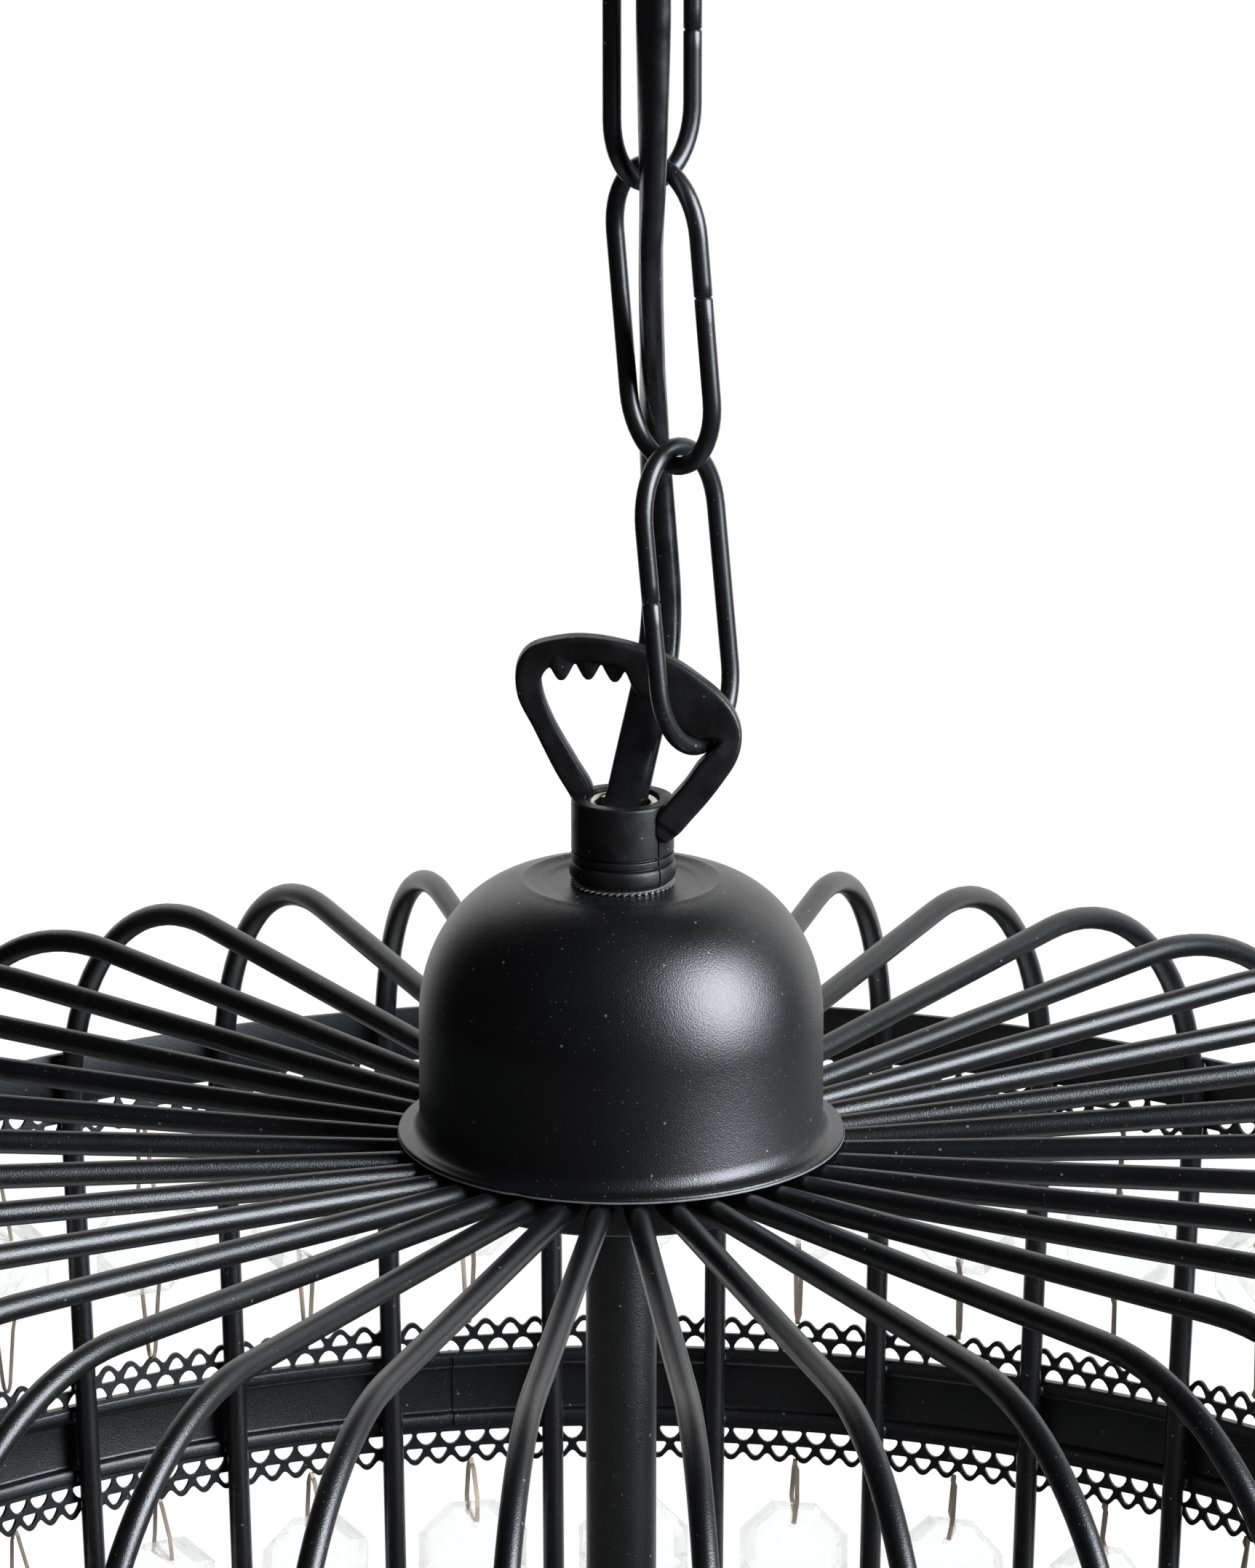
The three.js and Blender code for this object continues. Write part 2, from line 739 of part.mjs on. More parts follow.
function bottomBand() {
  const top = -bottomBandDrop;
  return band([
    [bottomInner, top - bottomBandHeight],
    [bottomInner + bandThickness, top - bottomBandHeight],
    [bottomInner + bandThickness, top],
    [bottomInner + stripThickness, top],
    [bottomInner + stripThickness, top + stripHeight],
    [bottomInner, top + stripHeight],
  ]);
}

// A string of two octagonal crystals in the gap between two rods, on one thin wire behind the mid band
const stringTop = topStripLow + stringTopOverlap;
const stringLow = -bottomBandDrop + stripHeight - stringTopOverlap;
const crystalLevels = [
  (topStripLow - midBandDrop + stripHeight) / 2,
  (-midBandDrop - midBandHeight - bottomBandDrop) / 2,
];

const stringRadius = (level) => outsideRods(level) * facetShare - 2 * seatGap - pinDiameter / 2;

function crystal() {
  const girdle = crystalAcrossFlats / 2 / Math.cos(Math.PI / 8);
  const table = girdle * crystalTableShare;
  const outline = [
    [0, -crystalThickness / 2],
    [table, -crystalThickness / 2],
    [girdle, 0],
    [table, crystalThickness / 2],
    [0, crystalThickness / 2],
  ];
  return turned(outline, 8).rotateZ(Math.PI / 8).rotateX(Math.PI / 2);
}

function crystalString() {
  const at = (level) => new THREE.Vector3(0, -stringRadius(level), level);
  const wire = swept([at(stringTop), at(stringLow)], new THREE.Vector3(1, 0, 0), roundWire(pinDiameter, 4));
  const crystals = crystalLevels.map((level) => crystal().translate(...at(level).toArray()));
  return join(wire, ...crystals);
}

// Lampholder at the end of the centre tube
const holderCapLow = tubeLow + holderOverlap - holderCapHeight;

function lampholderCap() {
  const bore = tubeDiameter / 2 + seatGap;
  const throat = tubeBore / 2;
  const outer = holderDiameter / 2;
  const stop = tubeLow - seatGap;
  return turned(
    [
      [throat, holderCapLow + holderWall],
      [outer - holderWall, holderCapLow + holderWall],
      [outer - holderWall, holderCapLow],
      [outer, holderCapLow],
      [outer, holderCapLow + 2 * holderWall],
      [holderCapTopDiameter / 2 + holderWall, holderCapLow + holderCapHeight - holderOverlap],
      [holderCapTopDiameter / 2, holderCapLow + holderCapHeight],
      [bore, holderCapLow + holderCapHeight],
      [bore, stop],
      [throat, stop],
    ],
    holderSegments,
  );
}

const skirtTop = holderCapLow - seatGap;
const skirtLow = skirtTop - holderHeight;

function lampholderSkirt() {
  const bore = holderDiameter - 2 * holderWall;
  return ring(bore, holderDiameter, skirtLow, skirtTop, holderSegments);
}

function lampholderCore() {
  const outer = holderDiameter / 2 - holderWall - seatGap;
  const bore = outer - holderCoreWall;
  const low = skirtLow + holderRecess;
  return turned(
    [
      [holderWireHole / 2, skirtTop - holderCoreFloor],
      [bore, skirtTop - holderCoreFloor],
      [bore, low],
      [outer, low],
      [outer, skirtTop],
      [holderWireHole / 2, skirtTop],
    ],
    holderSegments,
  );
}

// The assembly
chandelier.add(
  piece("mounting_bar", mountingBar(), "zincSteel"),
  piece("canopy_cup", canopyCup(), "blackSteel"),
  piece("canopy_hook", canopyHook(), "blackSteel"),
  piece("hook_nut", hookNut(), "blackSteel"),
  piece("cable_grommet", cableGrommet(), "blackPlastic"),
);

linkFrames.forEach(({ lowWire, pose }, i) => {
  const link = piece("chain_link_" + (i + 1), chainLink(), "blackSteel");
  link.position.copy(lowWire);
  link.quaternion.copy(pose);
  chandelier.add(link);
});

const flexEnds = [0, ...flexCuts, -Infinity];
for (let i = 0; i + 1 < flexEnds.length; i++)
  chandelier.add(piece("flex_" + (i + 1), flexLength(flexEnds[i], flexEnds[i + 1]), "blackFlex"));

const lamp = new THREE.Group();
lamp.position.copy(lampOrigin);
chandelier.add(lamp);
lamp.add(
  piece("cord_grip", cordGrip(), "blackPlastic"),
  piece("threaded_nipple", threadedNipple(), "zincSteel"),
  piece("bell_cap", bellCap(), "blackSteel"),
  piece("hub_nut", hubNut(), "zincSteel"),
  piece("cage_frame", cageFrame(), "blackSteel"),
  piece("top_band", topBand(), "blackSteel"),
  piece("mid_band", midBand(), "blackSteel"),
  piece("bottom_band", bottomBand(), "blackSteel"),
  piece("centre_tube", centreTube(), "blackSteel"),
  piece("lampholder_cap", lampholderCap(), "blackPlastic"),
  piece("lampholder_skirt", lampholderSkirt(), "blackPlastic"),
  piece("lampholder_core", lampholderCore(), "ceramic"),
);

const oneString = crystalString();
for (let i = 0; i < rodCount; i++) {
  const string = piece("crystal_string_" + String(i + 1).padStart(2, "0"), oneString, "crystal");
  string.rotation.z = gapAngle(i) * degree;
  lamp.add(string);
}

export default chandelier;
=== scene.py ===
"""Beaded drum chandelier: a bell cap on a chain over a cage of bent rods with clear octagonal crystals."""
import json
import math

import bmesh
import bpy
from mathutils import Matrix, Vector


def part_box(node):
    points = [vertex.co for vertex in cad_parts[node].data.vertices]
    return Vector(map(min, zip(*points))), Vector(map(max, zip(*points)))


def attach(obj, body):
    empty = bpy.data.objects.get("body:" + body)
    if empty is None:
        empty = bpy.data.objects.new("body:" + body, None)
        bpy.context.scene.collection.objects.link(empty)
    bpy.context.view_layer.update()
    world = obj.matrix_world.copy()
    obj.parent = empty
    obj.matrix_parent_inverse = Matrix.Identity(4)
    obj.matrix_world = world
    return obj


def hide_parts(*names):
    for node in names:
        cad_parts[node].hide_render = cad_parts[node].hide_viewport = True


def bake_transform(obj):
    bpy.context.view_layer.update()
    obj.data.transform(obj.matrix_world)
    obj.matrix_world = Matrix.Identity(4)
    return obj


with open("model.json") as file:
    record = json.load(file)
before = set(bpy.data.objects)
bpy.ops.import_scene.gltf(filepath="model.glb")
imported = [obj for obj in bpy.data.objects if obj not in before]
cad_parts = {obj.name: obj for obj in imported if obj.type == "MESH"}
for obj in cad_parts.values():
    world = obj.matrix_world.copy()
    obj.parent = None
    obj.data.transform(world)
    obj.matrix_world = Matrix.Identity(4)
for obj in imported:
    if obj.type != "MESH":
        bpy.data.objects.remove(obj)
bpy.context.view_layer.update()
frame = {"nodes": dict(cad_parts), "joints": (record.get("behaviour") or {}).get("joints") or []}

bl_info = {
    "name": "Beaded drum chandelier",
    "version": (1, 0, 0),
    "blender": (4, 5, 0),
    "location": "3D View > Sidebar > Chandelier",
    "description": "Builds a black drum chandelier with clear octagonal crystals on its packed solids",
    "category": "Add Mesh",
}

MM = 0.001
DEGREE = math.pi / 180
X, Y = Vector((1, 0, 0)), Vector((0, 1, 0))
JOINTS = frame["joints"]

# The lamp's own frame: its origin is on the axis, in the plane of the rods at the hub
BELL_FLOOR = 2.25 * MM
bell_low, bell_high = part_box("bell_cap")
LAMP = Vector(
    ((bell_low[0] + bell_high[0]) / 2, (bell_low[1] + bell_high[1]) / 2, bell_low[2] - BELL_FLOOR)
)

# Levels and radii of the cage's form in the lamp's frame
RODS = 36
ROD_ROOT = 26 * MM
ROD_LEVEL = 38.3 * MM
ROD_RISE = 2.84 * DEGREE
ROD_STRAIGHT_END = 129.9 * MM
ROD_BEND = 48 * MM
WALL_LEAN = 3.57 * DEGREE
CAGE_TURN = -0.75 * DEGREE
CAGE_LOW = -175.2 * MM
BEND_RADIUS = ROD_STRAIGHT_END + ROD_BEND * math.sin(ROD_RISE)
BEND_LEVEL = (ROD_STRAIGHT_END - ROD_LEVEL) * math.tan(ROD_RISE) - ROD_BEND * math.cos(ROD_RISE)
WALL_TOP_RADIUS = BEND_RADIUS + ROD_BEND * math.cos(WALL_LEAN)
WALL_TOP_LEVEL = BEND_LEVEL - ROD_BEND * math.sin(WALL_LEAN)
TOP_BAND = (-43.5 * MM, -33.5 * MM)
MID_BAND = (-116.7 * MM, -101.6 * MM)
LOW_BAND = (-175.2 * MM, -165.2 * MM)
STRIP_DEPTH = 6.7 * MM
CRYSTAL_LEVELS = (-72.55 * MM, -140.95 * MM)
PIN_HOLE_INSET = 3.4 * MM

# What every geometry tree that repeats round the lamp's axis is given
ROUND_KINDS = {"Count": "Int", "Turn": "Float"}
ROUND_VALUES = {"Count": RODS, "Turn": CAGE_TURN, "Axis": LAMP}

# Route of the flat flex in the row's frame, and how its broad face turns on the way down
FLEX_ROUTE = [
    (0, -14.6, -24), (0, -14.6, -33), (0, -14.2, -44), (0.05, -12.7, -58), (0.1, -11.2, -72),
    (0.05, -10, -86), (0, -9, -99), (-0.2, -7.2, -108), (-0.2, -3.6, -117), (0, 1.3, -126),
    (0.2, 6.3, -135), (0.4, 9, -144), (0.9, 9.9, -153), (1.4, 9.6, -163), (1.6, 8.9, -172),
    (1, 7.3, -180), (-0.6, 4.8, -187.5), (-2.2, 2.6, -194), (-3.6, 1, -200), (-4.7, 0.2, -205),
    (-5.1, 0, -211), (-5.1, 0, -218),
]
FLEX_TWISTS = [
    (-24, 55), (-72, 55), (-90, 70), (-108, 90), (-130, 84),
    (-140, 70), (-160, 52), (-180, 20), (-192, 0), (-218, 0),
]

# The hanging loop in the lamp's frame: outer and inner edge (x, z) and middle (y) of the strap, in millimetres
LOOP_STATIONS = [
    (-7.6, 56.6, -4.4, 56.9, 4.0), (-8.1, 58.6, -4.5, 60.2, 4.0), (-10.8, 63.6, -7.0, 65.0, 3.3),
    (-14.2, 71.0, -10.8, 72.2, 2.2), (-16.9, 77.0, -12.6, 77.3, 1.6), (-16.9, 82.1, -12.7, 80.4, 1.2),
    (-14.8, 85.2, -10.8, 82.3, 0.9), (-9.4, 86.8, -8.3, 82.8, 0.5), (-4.6, 87.0, -4.2, 82.8, 0.0),
    (0.4, 86.3, 0.2, 81.9, -0.7), (5.0, 85.1, 2.3, 78.3, -1.5), (9.1, 83.5, 6.4, 75.6, -2.4),
    (12.7, 81.2, 9.2, 72.2, -3.2), (16.1, 78.5, 12.2, 71.15, -3.9), (18.4, 75.6, 14.4, 71.2, -4.3),
    (19.5, 72.6, 15.8, 71.0, -4.6), (19.4, 69.9, 15.3, 70.0, -4.9), (18.5, 67.2, 14.0, 68.6, -5.1),
    (16.6, 64.2, 12.5, 67.1, -5.1), (14.2, 60.9, 10.5, 64.1, -5.0), (11.5, 57.7, 8.0, 61.1, -4.9),
    (9.2, 55.1, 5.6, 57.9, -5.0), (7.2, 53.6, 5.4, 55.3, -5.0),
]


def linear(code):
    """An sRGB hex colour as linear values."""
    parts = [int(code[i : i + 2], 16) / 255 for i in (1, 3, 5)]
    return tuple(p / 12.92 if p <= 0.04045 else ((p + 0.055) / 1.055) ** 2.4 for p in parts)


def length(name, description, default):
    return bpy.props.FloatProperty(
        name=name, description=description, default=default, min=0.0,
        unit="LENGTH", subtype="DISTANCE", precision=4,
    )


def colour(name, description, code):
    return bpy.props.FloatVectorProperty(
        name=name, description=description, default=linear(code), size=3, min=0.0, max=1.0, subtype="COLOR"
    )


class ChandelierSizes(bpy.types.PropertyGroup):
    """Sizes that can change without moving a solid."""

    rod_diameter: length("Rod diameter", "Thickness of the cage's bent rods", 4 * MM)
    band_thickness: length("Band thickness", "Thickness of the flat bands", 1.2 * MM)
    strip_thickness: length("Strip thickness", "Thickness of the perforated strips", 0.6 * MM)
    strip_cells: bpy.props.IntProperty(
        name="Strip cells", description="Pairs of holes round one perforated strip", default=240, min=60
    )
    link_wire: length("Link wire", "Thickness of the chain's wire", 3 * MM)
    crystal_width: length("Crystal width", "Octagon's width across its flats", 20.7 * MM)
    crystal_thickness: length("Crystal thickness", "Octagon's thickness between its two tables", 6 * MM)
    crystal_table: bpy.props.FloatProperty(
        name="Crystal table", description="Share of the octagon's width that is flat",
        default=0.74, min=0.3, max=0.95, subtype="FACTOR",
    )
    pin_width: length("Pin width", "Width of the thin metal ribbons that hold the crystals", 0.85 * MM)
    weld_size: length("Weld size", "Size of the weld spots between rods and bands", 1.5 * MM)
    floor_drop: length("Floor drop", "Distance from the ceiling down to the floor", 1.6)


class ChandelierColours(bpy.types.PropertyGroup):
    """Colours of the finishes."""

    coat: colour("Powder coat", "Black powder coat of the cap, the cage and the chain", "#0b0b0c")
    nylon: colour("Moulded nylon", "Black of the cord grip", "#111010")
    sheath: colour("Flex sheath", "Black of the cable's sheath", "#1c1c1e")
    zinc: colour("Zinc", "Zinc plating of nuts and the ceiling bar", "#b4b6b6")
    pins: colour("Pin metal", "Champagne metal of the crystal pins", "#a99c88")
    crystal: colour("Crystal", "Tint of the clear crystals", "#fbfdfd")
    ceramic: colour("Ceramic", "Glazed insert of the lampholder", "#e8e4da")
    floor: colour("Floor", "Pale floor", "#f4f4f2")


def colours():
    return bpy.context.scene.chandelier_colours


def add(tree, kind, inputs=None, **settings):
    """Adds one node with its settings and inputs: values, sockets, or nodes, which give their first output."""
    made = tree.nodes.new(kind)
    for name, value in settings.items():
        setattr(made, name, value)
    for name, value in (inputs or {}).items():
        if isinstance(value, bpy.types.Node):
            value = value.outputs[0]
        if isinstance(value, bpy.types.NodeSocket):
            tree.links.new(value, made.inputs[name])
        else:
            made.inputs[name].default_value = value
    return made


def material(name):
    """Makes a function that gives a shader on Object coordinates into one that gives its material, made once."""

    def wrap(shader_of):
        def made_once():
            if name not in bpy.data.materials:
                made = bpy.data.materials.new(name)
                made.use_nodes = True
                tree = made.node_tree
                tree.nodes.clear()
                place = add(tree, "ShaderNodeTexCoord").outputs["Object"]
                add(tree, "ShaderNodeOutputMaterial", {"Surface": shader_of(tree, place)})
            return bpy.data.materials[name]

        return made_once

    return wrap


def times(tint, factor):
    return [min(1, c * factor) for c in tint]


def ranged(value, spread):
    """Inputs that map a value from the first two numbers of a spread to the other two."""
    return {"Value": value, **dict(zip(("From Min", "From Max", "To Min", "To Max"), spread))}


def clouded(tree, place, scale, detail, low, high):
    """A cloudy noise, and the tone that it gives between two linear colours."""
    cloud = add(tree, "ShaderNodeTexNoise", {"Vector": place, "Scale": scale, "Detail": detail})
    tone = add(tree, "ShaderNodeMix", {"Factor": cloud, 6: (*low, 1), 7: (*high, 1)}, data_type="RGBA")
    return cloud, tone.outputs[2]


def specks(tree, place, scale, size, empty):
    """Small round specks, one in a cell of the scale; a share of the cells stays empty."""
    cells = add(tree, "ShaderNodeTexVoronoi", {"Vector": place, "Scale": scale})
    spot = add(tree, "ShaderNodeMapRange", ranged(cells, (size / 2, size, 1.0, 0.0)))
    pick = add(tree, "ShaderNodeSeparateColor", {"Color": cells.outputs["Color"]})
    some = add(tree, "ShaderNodeMath", {0: pick, 1: empty}, operation="GREATER_THAN")
    return add(tree, "ShaderNodeMath", {0: spot, 1: some}, operation="MULTIPLY")


def dusted(tree, tone, dust, share):
    """A tone with pale dust on it."""
    faint = add(tree, "ShaderNodeMath", {0: dust, 1: share}, operation="MULTIPLY", use_clamp=True)
    grey = (*linear("#8f8b84"), 1)
    return add(tree, "ShaderNodeMix", {"Factor": faint, 6: tone, 7: grey}, data_type="RGBA").outputs[2]


def skin(tree, tone, worn, spread, height, strength, depth, more):
    """A shader whose roughness follows a noise through a spread, with a height as its bump."""
    rough = add(tree, "ShaderNodeMapRange", ranged(worn, spread))
    bump = add(tree, "ShaderNodeBump", {"Height": height, "Strength": strength, "Distance": depth})
    return add(
        tree, "ShaderNodeBsdfPrincipled", {"Base Color": tone, "Roughness": rough, "Normal": bump, **more}
    )


def coat(tree, place, roughness, grain_depth, painted_light_factor=1.0):
    """Black polyester powder coat: a cloudy black with dust, orange peel and a fine grain."""
    black = colours().coat
    # Orange peel of about 1.1 mm, and a grain of 0.25 mm that is drawn coarser than the real one to show
    peel = add(tree, "ShaderNodeTexNoise", {"Vector": place, "Scale": 900.0, "Detail": 2.0})
    grain = add(tree, "ShaderNodeTexNoise", {"Vector": place, "Scale": 4000.0, "Detail": 1.0})
    # painted_light_factor makes the black paler as painted light; at 1 the coat keeps its own black
    cloud, tone = clouded(tree, place, 60.0, 3.0, times(black, 0.75 * painted_light_factor), times(black, 1.3 * painted_light_factor))
    shown = specks(tree, place, 420.0, 0.12, 0.8)
    fine = specks(tree, place, 1300.0, 0.2, 0.8)
    dust = add(tree, "ShaderNodeMath", {0: fine, 1: 0.5, 2: shown}, operation="MULTIPLY_ADD")
    low_peel = add(tree, "ShaderNodeMath", {0: peel, 1: 0.12}, operation="MULTIPLY")
    height = add(tree, "ShaderNodeMath", {0: grain, 1: grain_depth, 2: low_peel}, operation="MULTIPLY_ADD")
    return skin(
        tree, dusted(tree, tone, dust, 0.7), cloud, (0.3, 0.7, *roughness), height, 0.7, 0.06 * MM,
        {"Specular IOR Level": 1.0},
    )


@material("powder coated steel")
def powder_coat(tree, place):
    """Powder coat on steel: a satin skin with a broad soft highlight, fine grain and dust specks."""
    return coat(tree, place, (0.33, 0.38), 1.2)


@material("black coated wire")
def coated_wire(tree, place):
    """The same coat on drawn wire: smoother, so that light runs along it in a streak, and painted 2.4 times paler as
    painted light from the front.
    """
    return coat(tree, place, (0.3, 0.36), 0.3, 2.4)


def moulded_black(tree, place, black, roughness, pit_depth, level):
    """Black moulded plastic: matte, with a cloudy sheen, pitted skin and a little dust."""
    cloud, tone = clouded(tree, place, 260.0, 5.0, times(black, 0.8), times(black, 1.4))
    pits = add(tree, "ShaderNodeTexNoise", {"Vector": place, "Scale": 2600.0, "Detail": 2.0})
    tone = dusted(tree, tone, specks(tree, place, 700.0, 0.16, 0.86), 0.5)
    spread = (0.3, 0.7, roughness - 0.1, roughness + 0.1)
    return skin(tree, tone, cloud, spread, pits, 0.5, pit_depth, {"Specular IOR Level": level})


@material("moulded nylon")
def moulded_nylon(tree, place):
    """Glass-filled nylon of the cord grip, moulded matte."""
    return moulded_black(tree, place, colours().nylon, 0.46, 0.06 * MM, 0.6)


@material("PVC flex sheath")
def flex_sheath(tree, place):
    """Extruded PVC sheath of the flat flex: smoother than the mouldings, with a satin sheen."""
    return moulded_black(tree, place, colours().sheath, 0.29, 0.02 * MM, 1.0)


@material("phenolic moulding")
def bakelite(tree, place):
    """Black phenolic of the lampholder: hard, a little glossier than nylon."""
    return moulded_black(tree, place, colours().nylon, 0.34, 0.01 * MM, 0.4)


def plated(tree, place, tint, roughness, scale, metallic=1.0):
    """Plated or rolled metal: a mottled tone and fine scratches along one way."""
    stretched = add(tree, "ShaderNodeMapping", {"Vector": place, "Scale": (1.0, 1.0, 0.12)})
    mottle, tone = clouded(tree, place, scale, 5.0, times(tint, 0.72), times(tint, 1.15))
    scratch = add(tree, "ShaderNodeTexNoise", {"Vector": stretched, "Scale": 5000.0, "Detail": 2.0})
    spread = (0.25, 0.75, roughness - 0.08, roughness + 0.1)
    return skin(tree, tone, mottle, spread, scratch, 0.2, 0.02 * MM, {"Metallic": metallic})


@material("zinc plated steel")
def zinc_plate(tree, place):
    """Bright zinc plating with a faint blue mottle."""
    return plated(tree, place, colours().zinc, 0.36, 320.0)


@material("bare sheared steel and painted edge highlight")
def bare_steel_and_edge_highlight(tree, place):
    """Sheared steel where no coat holds, as on the washer's teeth: dull grey with a short glint. On the flange's edge
    the same pale steel is a painted highlight.
    """
    return plated(tree, place, linear("#a3a29f"), 0.42, 900.0, 0.5)


@material("lacquered pin ribbon")
def pin_metal(tree, place):
    """Champagne lacquered brass ribbon, rolled thin."""
    return plated(tree, place, colours().pins, 0.42, 700.0, 0.4)


@material("drawn brass")
def brass(tree, place):
    """Drawn brass of the lamp contact and its screw shell: warm and bright, with drawing lines."""
    return plated(tree, place, linear("#c9a45c"), 0.3, 400.0)


@material("bright plated ring")
def bright_ring(tree, place):
    """Bright plated ring round the cable in the collar's mouth: shiny, it mirrors the white surround."""
    tone = clouded(tree, place, 500.0, 3.0, linear("#a8a59d"), linear("#efede7"))[1]
    return add(tree, "ShaderNodeBsdfPrincipled", {"Base Color": tone, "Roughness": 0.2, "Metallic": 0.9})


@material("clear crystal glass")
def crystal_glass(tree, place):
    """Pressed and polished clear glass: clean, with a trace of unevenness in its faces."""
    wave = add(tree, "ShaderNodeTexNoise", {"Vector": place, "Scale": 120.0, "Detail": 1.0})
    haze = add(tree, "ShaderNodeTexNoise", {"Vector": place, "Scale": 500.0, "Detail": 3.0})
    glass = skin(
        tree, (*colours().crystal, 1), haze, (0.62, 0.8, 0.0, 0.05), wave, 0.15, 0.1 * MM,
        {"IOR": 1.52, "Transmission Weight": 1.0},
    )
    # The bright ground washes the facets out nearly to nothing: more than half of the light goes straight through
    clear = add(tree, "ShaderNodeBsdfTransparent")
    return add(tree, "ShaderNodeMixShader", {0: 0.58, 1: glass, 2: clear})


@material("glazed ceramic")
def glazed_ceramic(tree, place):
    """Glazed steatite of the lampholder's insert: warm white, glossy, slightly uneven."""
    white = colours().ceramic
    cloud, tone = clouded(tree, place, 220.0, 4.0, times(white, 0.9), white)
    bump = add(tree, "ShaderNodeBump", {"Height": cloud, "Strength": 0.2, "Distance": 0.1 * MM})
    return add(
        tree, "ShaderNodeBsdfPrincipled",
        {"Base Color": tone, "Roughness": 0.22, "Normal": bump, "Coat Weight": 0.3},
    )


@material("matte floor paint")
def floor_paint(tree, place):
    """Matte pale paint, which gives way to the white surround away from the lamp."""
    pale = colours().floor
    level = -bpy.context.scene.chandelier_sizes.floor_drop
    far = add(tree, "ShaderNodeVectorMath", {0: place, 1: (LAMP.x, LAMP.y, level)}, operation="DISTANCE")
    fade = add(tree, "ShaderNodeMapRange", ranged(far.outputs["Value"], (0.35, 0.8, 0.0, 1.0)))
    tone = clouded(tree, place, 30.0, 4.0, times(pale, 0.97), pale)[1]
    paint = add(tree, "ShaderNodeBsdfDiffuse", {"Color": tone})
    clear = add(tree, "ShaderNodeBsdfTransparent")
    return add(tree, "ShaderNodeMixShader", {0: fade, 1: paint, 2: clear})


@material("black velvet")
def flag_velvet(tree, _):
    """Dark cloth of the flag. What a crystal mirrors or bends meets the white surround, not the flag."""
    weave = add(tree, "ShaderNodeTexNoise", {"Scale": 40.0})
    dark, grey = (*linear("#2b2b2d"), 1), (*linear("#38383a"), 1)
    tone = add(tree, "ShaderNodeMix", {"Factor": weave, 6: dark, 7: grey}, data_type="RGBA")
    velvet = add(tree, "ShaderNodeBsdfDiffuse", {"Color": tone.outputs[2]})
    path = add(tree, "ShaderNodeLightPath").outputs
    inside = add(
        tree, "ShaderNodeMath", {0: path["Transmission Depth"], 1: path["Is Singular Ray"]},
        operation="ADD", use_clamp=True,
    )
    clear = add(tree, "ShaderNodeBsdfTransparent")
    return add(tree, "ShaderNodeMixShader", {0: inside, 1: velvet, 2: clear})


def linked(name, data):
    """A new object in the scene."""
    item = bpy.data.objects.new(name, data)
    bpy.context.scene.collection.objects.link(item)
    return item


def place_piece(mesh, look, nodes=(), body="lamp"):
    """Links a finished mesh as a piece, with its material, the nodes it stands for and the body it rides on."""
    piece = linked(mesh.name, mesh)
    if look:
        mesh.materials.clear()
        mesh.materials.append(look)
    if body:
        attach(piece, body)
    if nodes:
        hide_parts(*nodes)
    return piece


def shaded(mesh, sharp):
    """Smooth shading, with edges that stay crisp past an angle."""
    mesh.shade_smooth()
    mesh.set_sharp_from_angle(angle=sharp * DEGREE)
    return mesh


def mesh_from(name, shape, sharp=35):
    """Turns mesh code into a shaded mesh with merged points and faces that point outwards."""
    bmesh.ops.remove_doubles(shape, verts=shape.verts, dist=1e-7)
    bmesh.ops.recalc_face_normals(shape, faces=shape.faces)
    mesh = bpy.data.meshes.new(name)
    shape.to_mesh(mesh)
    shape.free()
    return shaded(mesh, sharp)


def applied(item, *tools):
    """The plain mesh that an object's modifiers give; the object and its tools go."""
    bpy.context.view_layer.update()
    graph = bpy.context.evaluated_depsgraph_get()
    mesh = bpy.data.meshes.new_from_object(item.evaluated_get(graph), depsgraph=graph)
    for used in (item, *tools):
        bpy.data.objects.remove(used)
    return mesh


def drilled(blank, drills):
    """A mesh with holes cut by another."""
    item, tool = linked(blank.name, blank), linked(drills.name, drills)
    cut = item.modifiers.new("holes", "BOOLEAN")
    cut.operation = "DIFFERENCE"
    cut.solver = "EXACT"
    cut.object = tool
    return applied(item, tool)


def mm(points):
    """Points given in millimetres, in metres."""
    return [tuple(value * MM for value in point) for point in points]


def softened(corners, steps=4):
    """An outline whose corners (radius, level, fillet) are each rounded by their fillet."""
    outline = []
    for i, corner in enumerate(corners):
        here = Vector(corner[:2])
        if len(corner) < 3:
            outline.append(tuple(here))
            continue
        before = Vector(corners[i - 1][:2]) - here
        after = Vector(corners[(i + 1) % len(corners)][:2]) - here
        # A fillet takes up less than half of the edge beside it
        start = here + before.normalized() * min(corner[2], before.length * 0.48)
        end = here + after.normalized() * min(corner[2], after.length * 0.48)
        for k in range(steps + 1):
            t = k / steps
            outline.append(tuple(start * (1 - t) ** 2 + here * 2 * t * (1 - t) + end * t * t))
    return outline


def lathe(outline, segments, centre=LAMP, radius_at=None, seam=None, shape=None):
    """Turns a closed outline of (radius, level) about the vertical; a seam is an angle with its half width."""
    shape = shape or bmesh.new()
    angles = [2 * math.pi * k / segments for k in range(segments)]
    if seam:
        middle, half = seam
        angles = [a for a in angles if abs(a - middle) > 2 * half]
        angles = sorted(angles + [middle + half * k for k in (-1.4, -0.8, 0.8, 1.4)])
        segments = len(angles)
    rings = []
    for radius, level in outline:
        if radius < 1e-6:
            rings.append([shape.verts.new(centre + Vector((0, 0, level)))] * segments)
            continue
        ring = []
        for angle in angles:
            r = radius_at(radius, level, angle) if radius_at else radius
            ring.append(shape.verts.new(centre + Vector((r * math.sin(angle), -r * math.cos(angle), level))))
        rings.append(ring)
    for ring, above in zip(rings, rings[1:] + rings[:1]):
        for k in range(segments):
            n = (k + 1) % segments
            corners = list(dict.fromkeys((ring[k], ring[n], above[n], above[k])))
            if len(corners) > 2:
                shape.faces.new(corners)
    return shape


